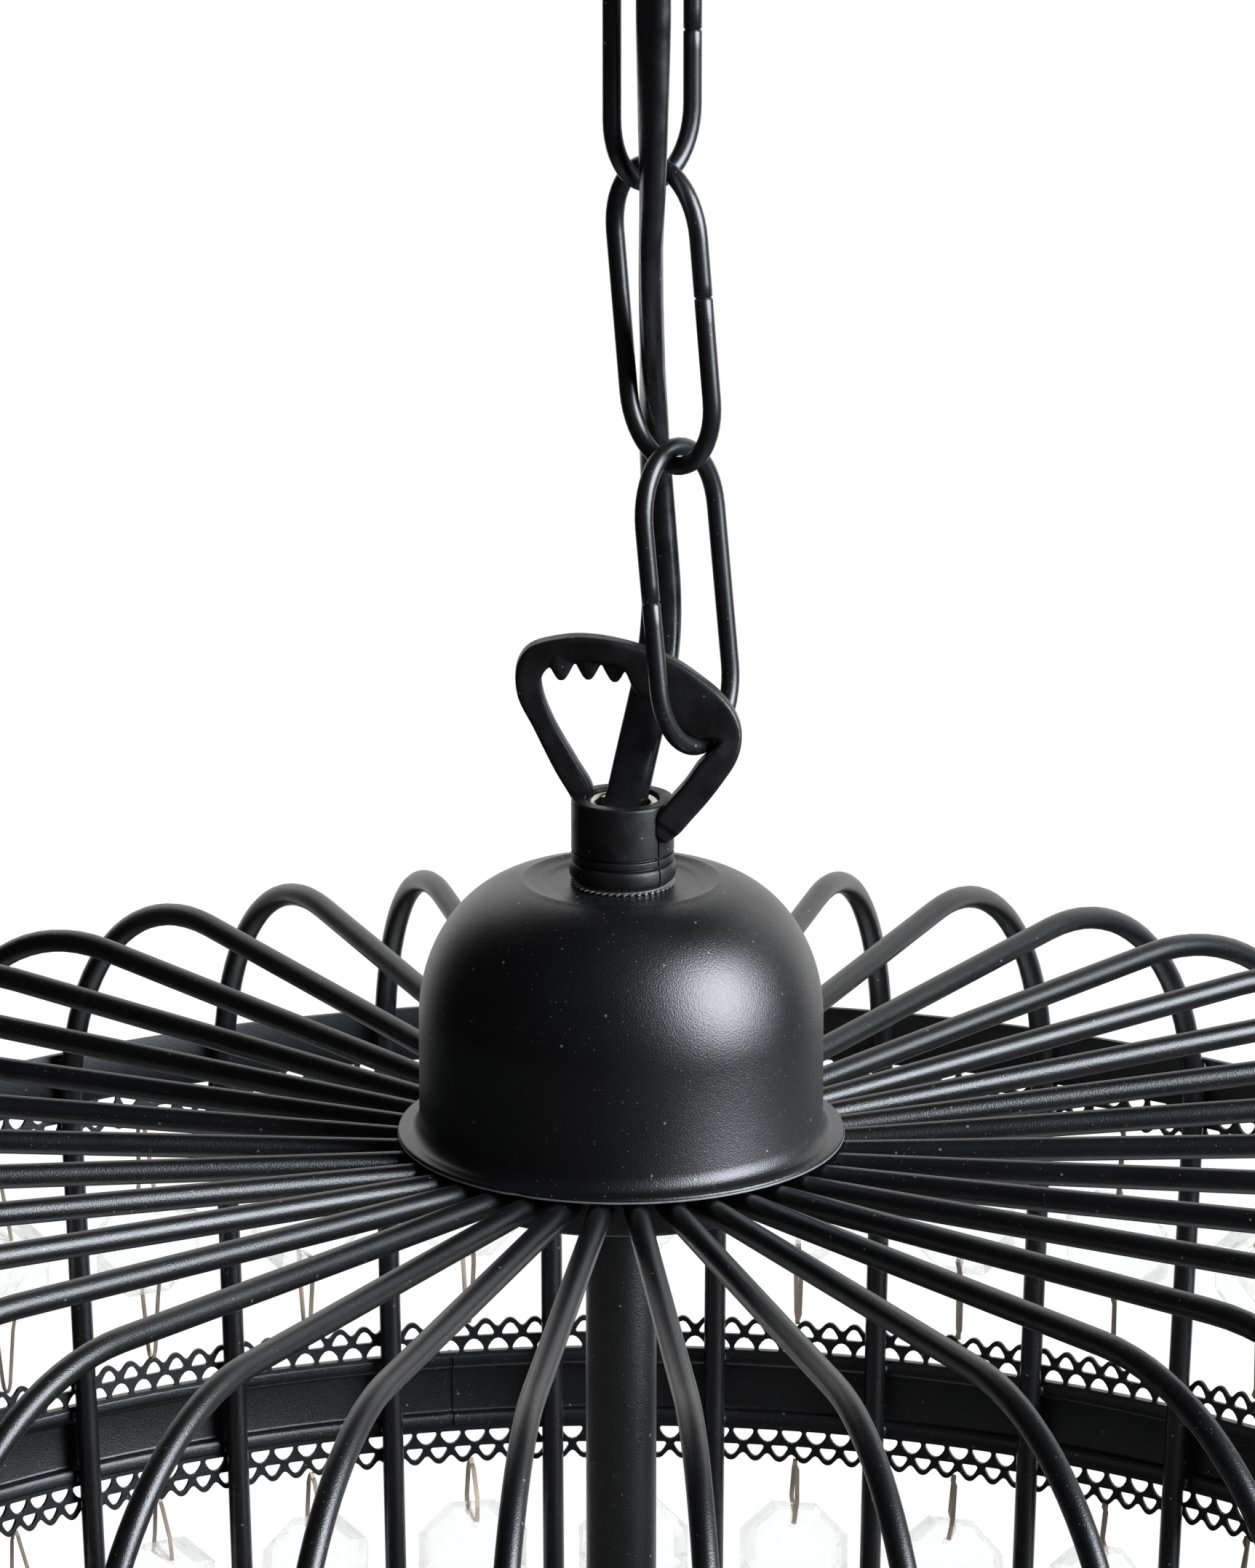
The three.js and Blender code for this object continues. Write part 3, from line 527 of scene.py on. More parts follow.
def turned_piece(name, corners, segments, look, slot, nodes=(), steps=4, sharp=35, **turning):
    """A piece turned about the vertical from corners with fillets."""
    shape = lathe(softened(corners, steps), segments, **turning)
    return place_piece(mesh_from(name, shape, sharp), look, nodes)


def curve_points(points, count):
    """A centripetal curve through the points, sampled at even lengths."""
    points = [Vector(p) for p in points]
    ghost = [2 * points[0] - points[1], *points, 2 * points[-1] - points[-2]]
    fine = []
    for i in range(len(points) - 1):
        p0, p1, p2, p3 = ghost[i : i + 4]
        d0, d1, d2 = ((b - a).length ** 0.5 for a, b in ((p0, p1), (p1, p2), (p2, p3)))
        m1 = ((p1 - p0) / d0 - (p2 - p0) / (d0 + d1) + (p2 - p1) / d1) * d1
        m2 = ((p2 - p1) / d1 - (p3 - p1) / (d1 + d2) + (p3 - p2) / d2) * d1
        cubic = 2 * p1 - 2 * p2 + m1 + m2
        square = -3 * p1 + 3 * p2 - 2 * m1 - m2
        for k in range(24):
            t = k / 24
            fine.append(p1 + m1 * t + square * t * t + cubic * t**3)
    return resampled([*fine, points[-1]], count)


def resampled(fine, count):
    """The same line with an even spacing."""
    along = [0.0]
    for a, b in zip(fine, fine[1:]):
        along.append(along[-1] + (b - a).length)
    made, i = [], 0
    for k in range(count):
        want = along[-1] * k / (count - 1)
        while i < len(fine) - 2 and along[i + 1] < want:
            i += 1
        share = (want - along[i]) / max(along[i + 1] - along[i], 1e-12)
        made.append(fine[i].lerp(fine[i + 1], min(share, 1.0)))
    return made


def arc(count, span=math.pi):
    """Angles from 0 over a span."""
    return [span * k / count for k in range(count + 1)]


def oval(width, thickness, sides, squareness=2.0):
    """A section between an ellipse (2) and a rounded rectangle (4 and more)."""
    section = []
    for i in range(sides):
        angle = (i + 0.5) / sides * 2 * math.pi
        section.append(
            tuple(
                math.copysign(abs(way) ** (2 / squareness), way) * size / 2
                for way, size in ((math.cos(angle), width), (math.sin(angle), thickness))
            )
        )
    return section


def tube(shape, rings):
    """Closes rings of as many points each into a capped tube."""
    for lower, upper in zip(rings, rings[1:]):
        for k in range(len(lower)):
            n = (k + 1) % len(lower)
            shape.faces.new((lower[k], lower[n], upper[n], upper[k]))
    shape.faces.new(rings[0][::-1])
    shape.faces.new(rings[-1])
    return shape


def sweep(points, side, section, shape=None, end_size=1.0):
    """Carries a section along a line, its first axis along the side; both may be functions of the step."""
    shape = shape or bmesh.new()
    last = len(points) - 1
    rings = []
    for i, point in enumerate(points):
        tangent = (points[min(i + 1, last)] - points[max(i - 1, 0)]).normalized()
        out = side(i) if callable(side) else side
        out = (out - tangent * out.dot(tangent)).normalized()
        across = tangent.cross(out)
        size = end_size if i in (0, last) else 1
        here = section(i) if callable(section) else section
        rings.append([shape.verts.new(point + out * (a * size) + across * (b * size)) for a, b in here])
    return tube(shape, rings)


def node_group(name, kinds):
    """A geometry tree with its named inputs, Axis and Material among them."""
    tree = bpy.data.node_groups.new(name, "GeometryNodeTree")
    tree.interface.new_socket("Geometry", in_out="INPUT", socket_type="NodeSocketGeometry")
    for label, kind in {**kinds, "Axis": "Vector", "Material": "Material"}.items():
        tree.interface.new_socket(label, in_out="INPUT", socket_type="NodeSocket" + kind)
    tree.interface.new_socket("Geometry", in_out="OUTPUT", socket_type="NodeSocketGeometry")
    return tree, add(tree, "NodeGroupInput").outputs


def end_group(tree, source, geometry):
    """Ends a tree in real geometry with its material."""
    real = add(tree, "GeometryNodeRealizeInstances", {"Geometry": geometry})
    dressed = add(tree, "GeometryNodeSetMaterial", {"Geometry": real, "Material": source["Material"]})
    add(tree, "NodeGroupOutput", {"Geometry": dressed})
    return tree


def end_round(tree, source, geometry, shift):
    """Ends a tree in Count copies round Axis, turned on by Turn and a share of a step."""
    points = add(tree, "GeometryNodePoints", {"Count": source["Count"]})
    index = add(tree, "GeometryNodeInputIndex")
    step = add(tree, "ShaderNodeMath", {0: 2 * math.pi, 1: source["Count"]}, operation="DIVIDE")
    place = add(tree, "ShaderNodeMath", {0: index, 1: shift}, operation="ADD")
    angle = add(tree, "ShaderNodeMath", {0: place, 1: step, 2: source["Turn"]}, operation="MULTIPLY_ADD")
    euler = add(tree, "ShaderNodeCombineXYZ", {"Z": angle})
    turn = add(tree, "FunctionNodeEulerToRotation", {0: euler})
    copies = add(
        tree, "GeometryNodeInstanceOnPoints", {"Points": points, "Instance": geometry, "Rotation": turn}
    )
    moved = add(tree, "GeometryNodeTransform", {"Geometry": copies, "Translation": source["Axis"]})
    return end_group(tree, source, moved)


def grown_piece(name, seed_mesh, tree, values, nodes=(), sharp=35):
    """A piece whose plain mesh a geometry tree makes, run once on a seed mesh."""
    seed = linked(name + " seed", seed_mesh)
    modifier = seed.modifiers.new(tree.name, "NODES")
    modifier.node_group = tree
    for item in tree.interface.items_tree:
        if item.in_out == "INPUT" and item.name in values:
            modifier[item.identifier] = values[item.name]
    mesh = applied(seed)
    if not (mesh.polygons and mesh.materials):
        raise RuntimeError(f"{name}: the tree made no faces or set no material")
    shape = bmesh.new()
    shape.from_mesh(mesh)
    bmesh.ops.recalc_face_normals(shape, faces=shape.faces)
    shape.to_mesh(mesh)
    shape.free()
    mesh.name = name
    return place_piece(shaded(mesh, sharp), None, nodes)


def line_mesh(name, lines, closed=False):
    """Lines of points as a mesh of edges."""
    mesh = bpy.data.meshes.new(name)
    points, edges = [], []
    for line in lines:
        first = len(points)
        points += [tuple(p) for p in line]
        edges += [(i, i + 1) for i in range(first, len(points) - 1)]
        if closed:
            edges.append((len(points) - 1, first))
    mesh.from_pydata(points, edges, [])
    return mesh


def wall_radius(level):
    """Radius of the rods' centre line at a level of the wall."""
    if level > WALL_TOP_LEVEL:
        return BEND_RADIUS + math.sqrt(ROD_BEND**2 - (level - BEND_LEVEL) ** 2)
    return WALL_TOP_RADIUS - (WALL_TOP_LEVEL - level) * math.tan(WALL_LEAN)


class CHANDELIER_OT_stage(bpy.types.Operator):
    """Camera, floor, white surround, soft studio lamp and its black flag"""

    bl_idname = "chandelier.stage"
    bl_label = "Stage"

    def execute(self, context):
        camera = linked("camera", bpy.data.cameras.new("camera"))
        camera.location = LAMP + Vector((0, -1.2425, 0.4222))
        camera.rotation_euler = (math.pi / 2 - 0.2822, 0, -0.00084)
        camera.data.sensor_fit = "VERTICAL"
        camera.data.sensor_height = 36
        camera.data.lens = 182.44
        camera.data.clip_start = 0.05
        camera.data.clip_end = 50
        context.scene.camera = camera
        self.surround(context.scene)
        self.floor(-context.scene.chandelier_sizes.floor_drop)
        self.softbox()
        self.flag()
        context.scene.view_settings.view_transform = "Standard"
        return {"FINISHED"}

    def surround(self, scene):
        """White where it is seen, mirrored or looked through, and a plain grey light otherwise."""
        world = bpy.data.worlds.new("white surround")
        scene.world = world
        world.use_nodes = True
        tree = world.node_tree
        tree.nodes.clear()
        path = add(tree, "ShaderNodeLightPath").outputs
        seen = path["Is Camera Ray"]
        for ray in ("Is Glossy Ray", "Is Transmission Ray"):
            seen = add(tree, "ShaderNodeMath", {0: seen, 1: path[ray]}, operation="MAXIMUM")
        light = add(tree, "ShaderNodeBackground", {"Color": (1, 1, 1, 1), "Strength": 0.22})
        white = add(tree, "ShaderNodeBackground", {"Color": (1, 1, 1, 1), "Strength": 1.0})
        mixed = add(tree, "ShaderNodeMixShader", {0: seen, 1: light, 2: white})
        add(tree, "ShaderNodeOutputWorld", {"Surface": mixed})

    def floor(self, level):
        """A pale floor under the lamp that fades into the surround and keeps the lamp's shadow."""
        reach, under = 1.6, level - 0.01
        outline = [(0, under), (reach, under), (reach, level), (0, level)]
        mesh = mesh_from("floor", lathe(outline, 64, Vector((LAMP.x, LAMP.y, 0))))
        mesh.materials.append(floor_paint())
        linked("floor", mesh)

    def softbox(self):
        """One large round softbox, high on the right, gives the cap its highlight and the rods their streaks."""
        data = bpy.data.lights.new("key softbox", "AREA")
        data.shape = "ELLIPSE"
        data.size, data.size_y = 1.25, 1.45
        data.energy = 53
        data.color = linear("#f1f5ff")
        lamp = linked("key softbox", data)
        lamp.location = (1.27, -0.6, 0.36)
        aim = Vector((0, 0, -0.24))
        lamp.rotation_euler = (aim - lamp.location).to_track_quat("-Z", "Y").to_euler()

    def flag(self):
        """The unlit side of the studio: a black flag round the front and over the top, met by reflections alone."""
        shape = bmesh.new()
        bmesh.ops.create_uvsphere(shape, u_segments=48, v_segments=24, radius=2.6)
        open_side = []
        # It is open behind the lamp, from below it to above it, and wider on the right
        for face in shape.faces:
            middle = face.calc_center_median()
            share = 0.56 if middle.x > 0 else 0.76
            if middle.y > share * math.hypot(middle.x, middle.y) and -1.4 < middle.z < 1.6:
                open_side.append(face)
        bmesh.ops.delete(shape, geom=open_side, context="FACES")
        mesh = bpy.data.meshes.new("black flag")
        shape.to_mesh(mesh)
        shape.free()
        mesh.materials.append(flag_velvet())
        flag = linked("black flag", mesh)
        flag.location = (0, 0, -0.2)
        for ray in ("camera", "diffuse", "transmission", "volume_scatter", "shadow"):
            setattr(flag, "visible_" + ray, False)


class CHANDELIER_OT_flex(bpy.types.Operator):
    """Flat twin flex in four lengths, cut at the middles between the chain's joints"""

    bl_idname = "chandelier.flex"
    bl_label = "Flat flex"

    width, thickness = 6.9 * MM, 3.9 * MM
    # Reach above and below a pivot, at which points of the route are found
    reach = 13 * MM

    def side_at(self, level):
        """The way that the flex's broad face looks along at a level."""
        turn = FLEX_TWISTS[-1][1]
        for (high, start), (low, end) in zip(FLEX_TWISTS, FLEX_TWISTS[1:]):
            if level >= low * MM:
                turn = start + (end - start) * (high * MM - level) / ((high - low) * MM)
                break
        return Vector((math.cos(turn * DEGREE), -math.sin(turn * DEGREE), 0))

    def execute(self, context):
        pivots = [Vector(joint["pos_m"]) for joint in JOINTS]
        cuts = [(a.z + b.z) / 2 for a, b in zip(pivots, pivots[1:])]
        route = curve_points([Vector(p) * MM for p in FLEX_ROUTE], 600)
        levels = [route[0].z, *cuts, route[-1].z]
        section = oval(self.width, self.thickness, 28, 2.7)
        for i, (high, low) in enumerate(zip(levels, levels[1:])):
            inside = [p for p in route if low < p.z < high]
            points = resampled([self.at_level(route, high), *inside, self.at_level(route, low)], 48)
            mesh = mesh_from(f"flex_length_{i + 1}", sweep(points, lambda k: self.side_at(points[k].z), section), 50)
            piece = place_piece(mesh, flex_sheath(), [f"flex_{i + 1}"], None)
            start, end = (self.at_level(route, pivots[i].z + hand * self.reach) for hand in (1, -1))
            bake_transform(piece)
        return {"FINISHED"}

    def at_level(self, route, level):
        """The route's point at a level, or its nearer end."""
        for a, b in zip(route, route[1:]):
            if a.z >= level >= b.z:
                return a.lerp(b, (a.z - level) / max(a.z - b.z, 1e-12))
        return route[0].copy() if level > route[0].z else route[-1].copy()


class CHANDELIER_OT_chain(bpy.types.Operator):
    """Three oval links bent from round wire, each with a butt seam in one leg"""

    bl_idname = "chandelier.chain"
    bl_label = "Chain"

    # Half the width and the length of the wire's middle line, the reach of its rounded ends, and each link's seam
    half, top, end = 9.25 * MM, 49.32 * MM, 11.5 * MM
    seams = (23.4 * MM, 28.2 * MM, 25.7 * MM)

    def line(self, seam):
        """The wire's middle line from below its seam round to above it, in the link's own plane."""
        half, top, end = self.half, self.top, self.end
        line = [(half, seam - 0.05 * MM), (half, seam - 0.3 * MM)]
        line += [(half, seam + (end - seam) * k / 4) for k in range(1, 4)]
        line += [(half * math.cos(angle), end * (1 - math.sin(angle))) for angle in arc(24)]
        line += [(-half, end + (top - 2 * end) * k / 5) for k in range(1, 5)]
        line += [(-half * math.cos(angle), top - end * (1 - math.sin(angle))) for angle in arc(24)]
        line += [(half, top - end + (seam - top + end) * k / 4) for k in range(1, 4)]
        line += [(half, seam + 0.3 * MM), (half, seam + 0.05 * MM)]
        return [Vector((x, 0, z)) for x, z in line]

    def execute(self, context):
        wire = context.scene.chandelier_sizes.link_wire
        for i, (upper, lower) in enumerate(zip(JOINTS, JOINTS[1:])):
            seam = self.seams[i]
            shape = sweep(self.line(seam), Y, oval(wire, wire, 20), end_size=0.86)
            # The butted ends meet in the wire's core, so no light comes through the seam
            meet = [Vector((self.half, 0, seam + s * 0.2 * MM)) for s in (-1, 1)]
            sweep(meet, Y, oval(wire * 0.8, wire * 0.8, 20), shape)
            origin = Vector(lower["pos_m"])
            up = (Vector(upper["pos_m"]) - origin).normalized()
            along = Vector(lower["axis"])
            along = (along - up * along.dot(up)).normalized()
            turn = Matrix((along, up.cross(along), up)).transposed().to_4x4()
            bmesh.ops.transform(shape, matrix=Matrix.Translation(origin) @ turn, verts=shape.verts)
            mesh = mesh_from(f"oval_link_{i + 1}", shape, 40)
            place_piece(mesh, coated_wire(), [f"chain_link_{i + 1}"], upper["child"])
        return {"FINISHED"}


class CHANDELIER_OT_cord_grip(bpy.types.Operator):
    """Grooved collar with its twisted hanging loop, the bushing round the cable and the washer under it"""

    bl_idname = "chandelier.cord_grip"
    bl_label = "Cord grip"

    # In millimetres above the lamp's origin
    foot, top = 45.8, 59.8
    centre = LAMP + Vector((0.25 * MM, 0, 0))

    def execute(self, context):
        self.collar()
        self.loop()
        self.bushing()
        self.washer()
        return {"FINISHED"}

    def collar(self):
        foot, top = self.foot, self.top
        outer, bead, bore, mouth, split_top = 8.4, 8.75, 5.3, 6.05, self.foot + 8.7
        corners = [(bore, foot), (outer - 0.7, foot, 0.5), (bead, foot + 0.9, 1.1), (bead, foot + 2.9, 1.1)]
        for low in (foot + 3.4, foot + 4.9):
            corners += [
                (outer, low, 0.2), (outer - 0.6, low + 0.05, 0.08),
                (outer - 0.6, low + 0.4, 0.08), (outer, low + 0.45, 0.15),
            ]
        corners += [
            (outer, split_top), (outer, split_top + 0.1), (outer, top, 0.55),
            (mouth, top, 0.3), (mouth, top - 3), (bore, top - 3),
        ]
        split, half = 44 * DEGREE, 0.8 * DEGREE

        def parted(radius, level, angle):
            """The parting line of the moulding, front right."""
            cut = abs(angle - split) < half and radius > 7.5 * MM and level < (split_top + 0.05) * MM
            return radius - 0.3 * MM if cut else radius

        turned_piece(
            "grip_collar", mm(corners), 240, moulded_nylon(), "black_plastic", ["cord_grip"], 5, 40,
            centre=self.centre, radius_at=parted, seam=(split, half),
        )

    def loop(self):
        """A flat strap that is wide where the link pulls, with three teeth under its top."""
        shape = bmesh.new()
        rings = []
        count, foot = 130, 4
        for i, (x, z, inner_x, inner_z, y) in enumerate(curve_points(LOOP_STATIONS, count)):
            outer, inner = Vector((x, y, z)), Vector((inner_x, y, inner_z))
            # Half the strap's depth, a little less at its foot in the collar
            deep = Y * (2 if i < count - foot else 1.7)
            middle = LAMP + (outer + inner) / 2 * MM
            half = (outer - inner) / 2
            rings.append([shape.verts.new(middle + (deep * a + half * b) * MM) for a, b in oval(2, 2, 28, 6.5)])
        tube(shape, rings)
        widths = (5.0, 4.6, 3.9, 3.0, 2.0, 1.0)
        for x, base in ((-9.7, 82.9), (-5.3, 83.0), (-1.0, 82.6)):
            root = LAMP + Vector((x, 0.3, base + 1)) * MM
            line = [root - Vector((0, 0, 4.3 * MM * t)) for t in (0, 0.25, 0.45, 0.65, 0.85, 1)]
            sweep(line, Y, lambda k: oval(3.4 * MM * (1 if k < 5 else 0.6), widths[k] * MM, 16, 3), shape)
        blank = linked("loop blank", mesh_from("loop blank", shape))
        remesh = blank.modifiers.new("one moulding", "REMESH")
        remesh.mode = "VOXEL"
        remesh.voxel_size = 0.2 * MM
        soft = blank.modifiers.new("soft edges", "SMOOTH")
        soft.factor = 0.5
        soft.iterations = 3
        mesh = applied(blank)
        mesh.name = "hanging_loop"
        mesh.shade_smooth()
        place_piece(mesh, moulded_nylon(), ["cord_grip"])

    def bushing(self):
        low, high = self.top - 2.6, self.top - 0.5
        corners = [
            (4.55, low), (5.95, low), (5.95, high - 0.2, 0.2), (5.4, high, 0.3), (4.55, high - 0.3, 0.2),
        ]
        turned_piece("cable_bushing", mm(corners), 96, bright_ring(), "black_plastic", centre=self.centre)

    def washer(self):
        """A serrated lock washer, whose 44 twisted teeth just show under the collar."""
        teeth, bore, edge, low, high = 44, 5.4, 7.7, self.foot - 0.5, self.foot - 0.1
        shape = lathe(mm([(bore, low), (edge, low), (edge, high), (bore, high)]), 64, self.centre)
        for k in range(teeth):
            angle = 2 * math.pi * (k + 0.3) / teeth
            out = Vector((math.sin(angle), -math.cos(angle), 0))
            across = Vector((math.cos(angle), math.sin(angle), 0))
            line = [self.centre + (out * r + Vector((0, 0, (low + high) / 2))) * MM for r in (7.6, 8.1, 8.5)]
            sweep(
                line, lambda j: across + Vector((0, 0, (0, 0.3, 0.5)[j])),
                lambda j: oval((0.8, 0.7, 0.5)[j] * MM, 0.3 * MM, 8, 3), shape,
            )
        place_piece(mesh_from("lock_washer", shape), bare_steel_and_edge_highlight())


class CHANDELIER_OT_bell_cap(bpy.types.Operator):
    """Spun bell cap with its dished top, round shoulder and out-turned flange"""

    bl_idname = "chandelier.bell_cap"
    bl_label = "Bell cap"

    # In millimetres: the wall's radius, the cap's height and its flange's radius
    wall, height, flange = 33.2, 43.75, 36.8

    def shell(self, inset):
        """The outline in millimetres above the cap's floor, from the dish out over the shoulder to the wall."""
        wall, top = self.wall - inset, self.height - inset
        shoulder, low = self.wall - 18.7, self.height - 23.5
        # The dish: a shallow step, then its wall up to a crisp crease
        dish = [
            (5.3, 0), (8.0, 0), (11.4, 0), (12.1, 0.03), (12.6, 0.16), (13.1, 0.32),
            (13.7, 0.36), (14.6, 0.42), (15.3, 0.62), (15.9, 0.8), (16.15, 0.84),
        ]
        points = [(radius, top - 0.8 + rise) for radius, rise in dish]
        for angle in arc(28, math.pi / 2)[26::-1]:
            points.append((shoulder + (wall - shoulder) * math.cos(angle), low + (top - low) * math.sin(angle)))
        return points

    def execute(self, context):
        wall, flange, edge, fillet = self.wall, self.flange, 1.0, 3.2
        outline = self.shell(0)
        # The fillet between wall and flange is taller than it is wide
        for angle in arc(8, math.pi / 2)[1:]:
            outline.append((wall + fillet * 0.62 * (1 - math.cos(angle)), edge + fillet * (1 - math.sin(angle))))
        outline += [
            (flange - 0.4, edge), (flange - 0.12, 0.88 * edge), (flange, 0.5 * edge),
            (flange - 0.12, 0.12 * edge), (flange - 0.4, 0), (wall + fillet * 0.3, 0),
            (wall - 1 + fillet * 0.15, 1.2), (wall - 1, 3.4), *self.shell(1)[::-1],
        ]
        floor = LAMP + Vector((0, 0, BELL_FLOOR))
        dent, reach = 27 * DEGREE, 3 * DEGREE

        def dented(radius, level, angle):
            """A small knock in the flange, front left."""
            away = abs((angle + dent + math.pi) % (2 * math.pi) - math.pi)
            if radius < 36 * MM or away > reach:
                return radius
            return radius - 0.3 * MM * (1 + math.cos(away / reach * math.pi)) / 2

        mesh = mesh_from("spun_bell_cap", lathe(mm(outline), 216, floor, dented), 50)
        place_piece(mesh, powder_coat(), ["bell_cap"])
        # A thin ring of pale bare steel round the flange's edge: a painted highlight, standing for the line of light
        # that the edge catches
        rim, low, high = flange + 0.03, 0.1, 0.42
        corners = [(rim - 0.3, low), (rim, low, 0.05), (rim, high, 0.05), (rim - 0.3, high)]
        turned_piece(
            "flange_edge_painted_highlight", mm(corners), 216, bare_steel_and_edge_highlight(), "black_steel", steps=2,
            centre=floor, radius_at=dented,
        )
        return {"FINISHED"}


class CHANDELIER_OT_cage(bpy.types.Operator):
    """Hub, bent rods and the weld spots that hold them to the bands"""

    bl_idname = "chandelier.cage"
    bl_label = "Cage rods"

    def execute(self, context):
        sizes = context.scene.chandelier_sizes
        low, high, bore, rim = -5.8, 1.8, 5.3, 30
        corners = [(bore, low), (rim, low, 0.8), (rim, high, 0.8), (bore, high)]
        turned_piece("cage_hub", mm(corners), 144, powder_coat(), "black_steel", ["cage_frame"])
        values = {"Diameter": sizes.rod_diameter, **ROUND_VALUES, "Material": powder_coat()}
        path = line_mesh("rod path", [self.rod_line()])
        grown_piece("bent_rods", path, self.rod_tree(), values, ["cage_frame"])
        spots = []
        for low, high in (TOP_BAND, MID_BAND, LOW_BAND):
            for level in (low + 1.5 * MM, high - 1.5 * MM):
                spots += [(hand * 1.5 * MM, -wall_radius(level) - 1.7 * MM, level) for hand in (-1, 1)]
        seed = bpy.data.meshes.new("weld places")
        seed.from_pydata(spots, [], [])
        values = {"Size": sizes.weld_size, **ROUND_VALUES, "Seed": 5, "Material": powder_coat()}
        grown_piece("weld_spots", seed, self.weld_tree(), values)
        return {"FINISHED"}

    def rod_line(self):
        """Half of the rod's length lies flat, then it bends down and leans inwards."""
        rise = math.tan(ROD_RISE)
        line = [(ROD_ROOT, (ROD_ROOT - ROD_LEVEL) * rise), (ROD_LEVEL, 0)]
        for k in (1, 2):
            out = (ROD_STRAIGHT_END - ROD_LEVEL) * k / 3
            line.append((ROD_LEVEL + out, out * rise))
        for turn in arc(22, math.pi / 2 + ROD_RISE + WALL_LEAN):
            angle = math.pi / 2 + ROD_RISE - turn
            line.append((BEND_RADIUS + ROD_BEND * math.cos(angle), BEND_LEVEL + ROD_BEND * math.sin(angle)))
        line += [(wall_radius(level), level) for level in (-90 * MM, -140 * MM, CAGE_LOW)]
        return [(0, -radius, level) for radius, level in line]

    def rod_tree(self):
        tree, source = node_group("Rods round an axis", {"Diameter": "Float", **ROUND_KINDS})
        line = add(tree, "GeometryNodeMeshToCurve", {"Mesh": source["Geometry"]})
        radius = add(tree, "ShaderNodeMath", {0: source["Diameter"], 1: 0.5}, operation="MULTIPLY")
        circle = add(tree, "GeometryNodeCurvePrimitiveCircle", {"Resolution": 16, "Radius": radius})
        rod = add(
            tree, "GeometryNodeCurveToMesh", {"Curve": line, "Profile Curve": circle, "Fill Caps": True}
        )
        return end_round(tree, source, rod, 0.5)

    def weld_tree(self):
        tree, source = node_group("Weld spots", {"Size": "Float", **ROUND_KINDS, "Seed": "Int"})
        radius = add(tree, "ShaderNodeMath", {0: source["Size"], 1: 0.5}, operation="MULTIPLY")
        ball = add(tree, "GeometryNodeMeshIcoSphere", {"Radius": radius, "Subdivisions": 2})
        size = add(
            tree, "FunctionNodeRandomValue",
            {0: (0.7, 0.6, 0.8), 1: (1.3, 1.1, 1.7), "Seed": source["Seed"]}, data_type="FLOAT_VECTOR",
        )
        spots = add(
            tree, "GeometryNodeInstanceOnPoints",
            {"Points": source["Geometry"], "Instance": ball, "Scale": size},
        )
        return end_round(tree, source, spots, 0.5)


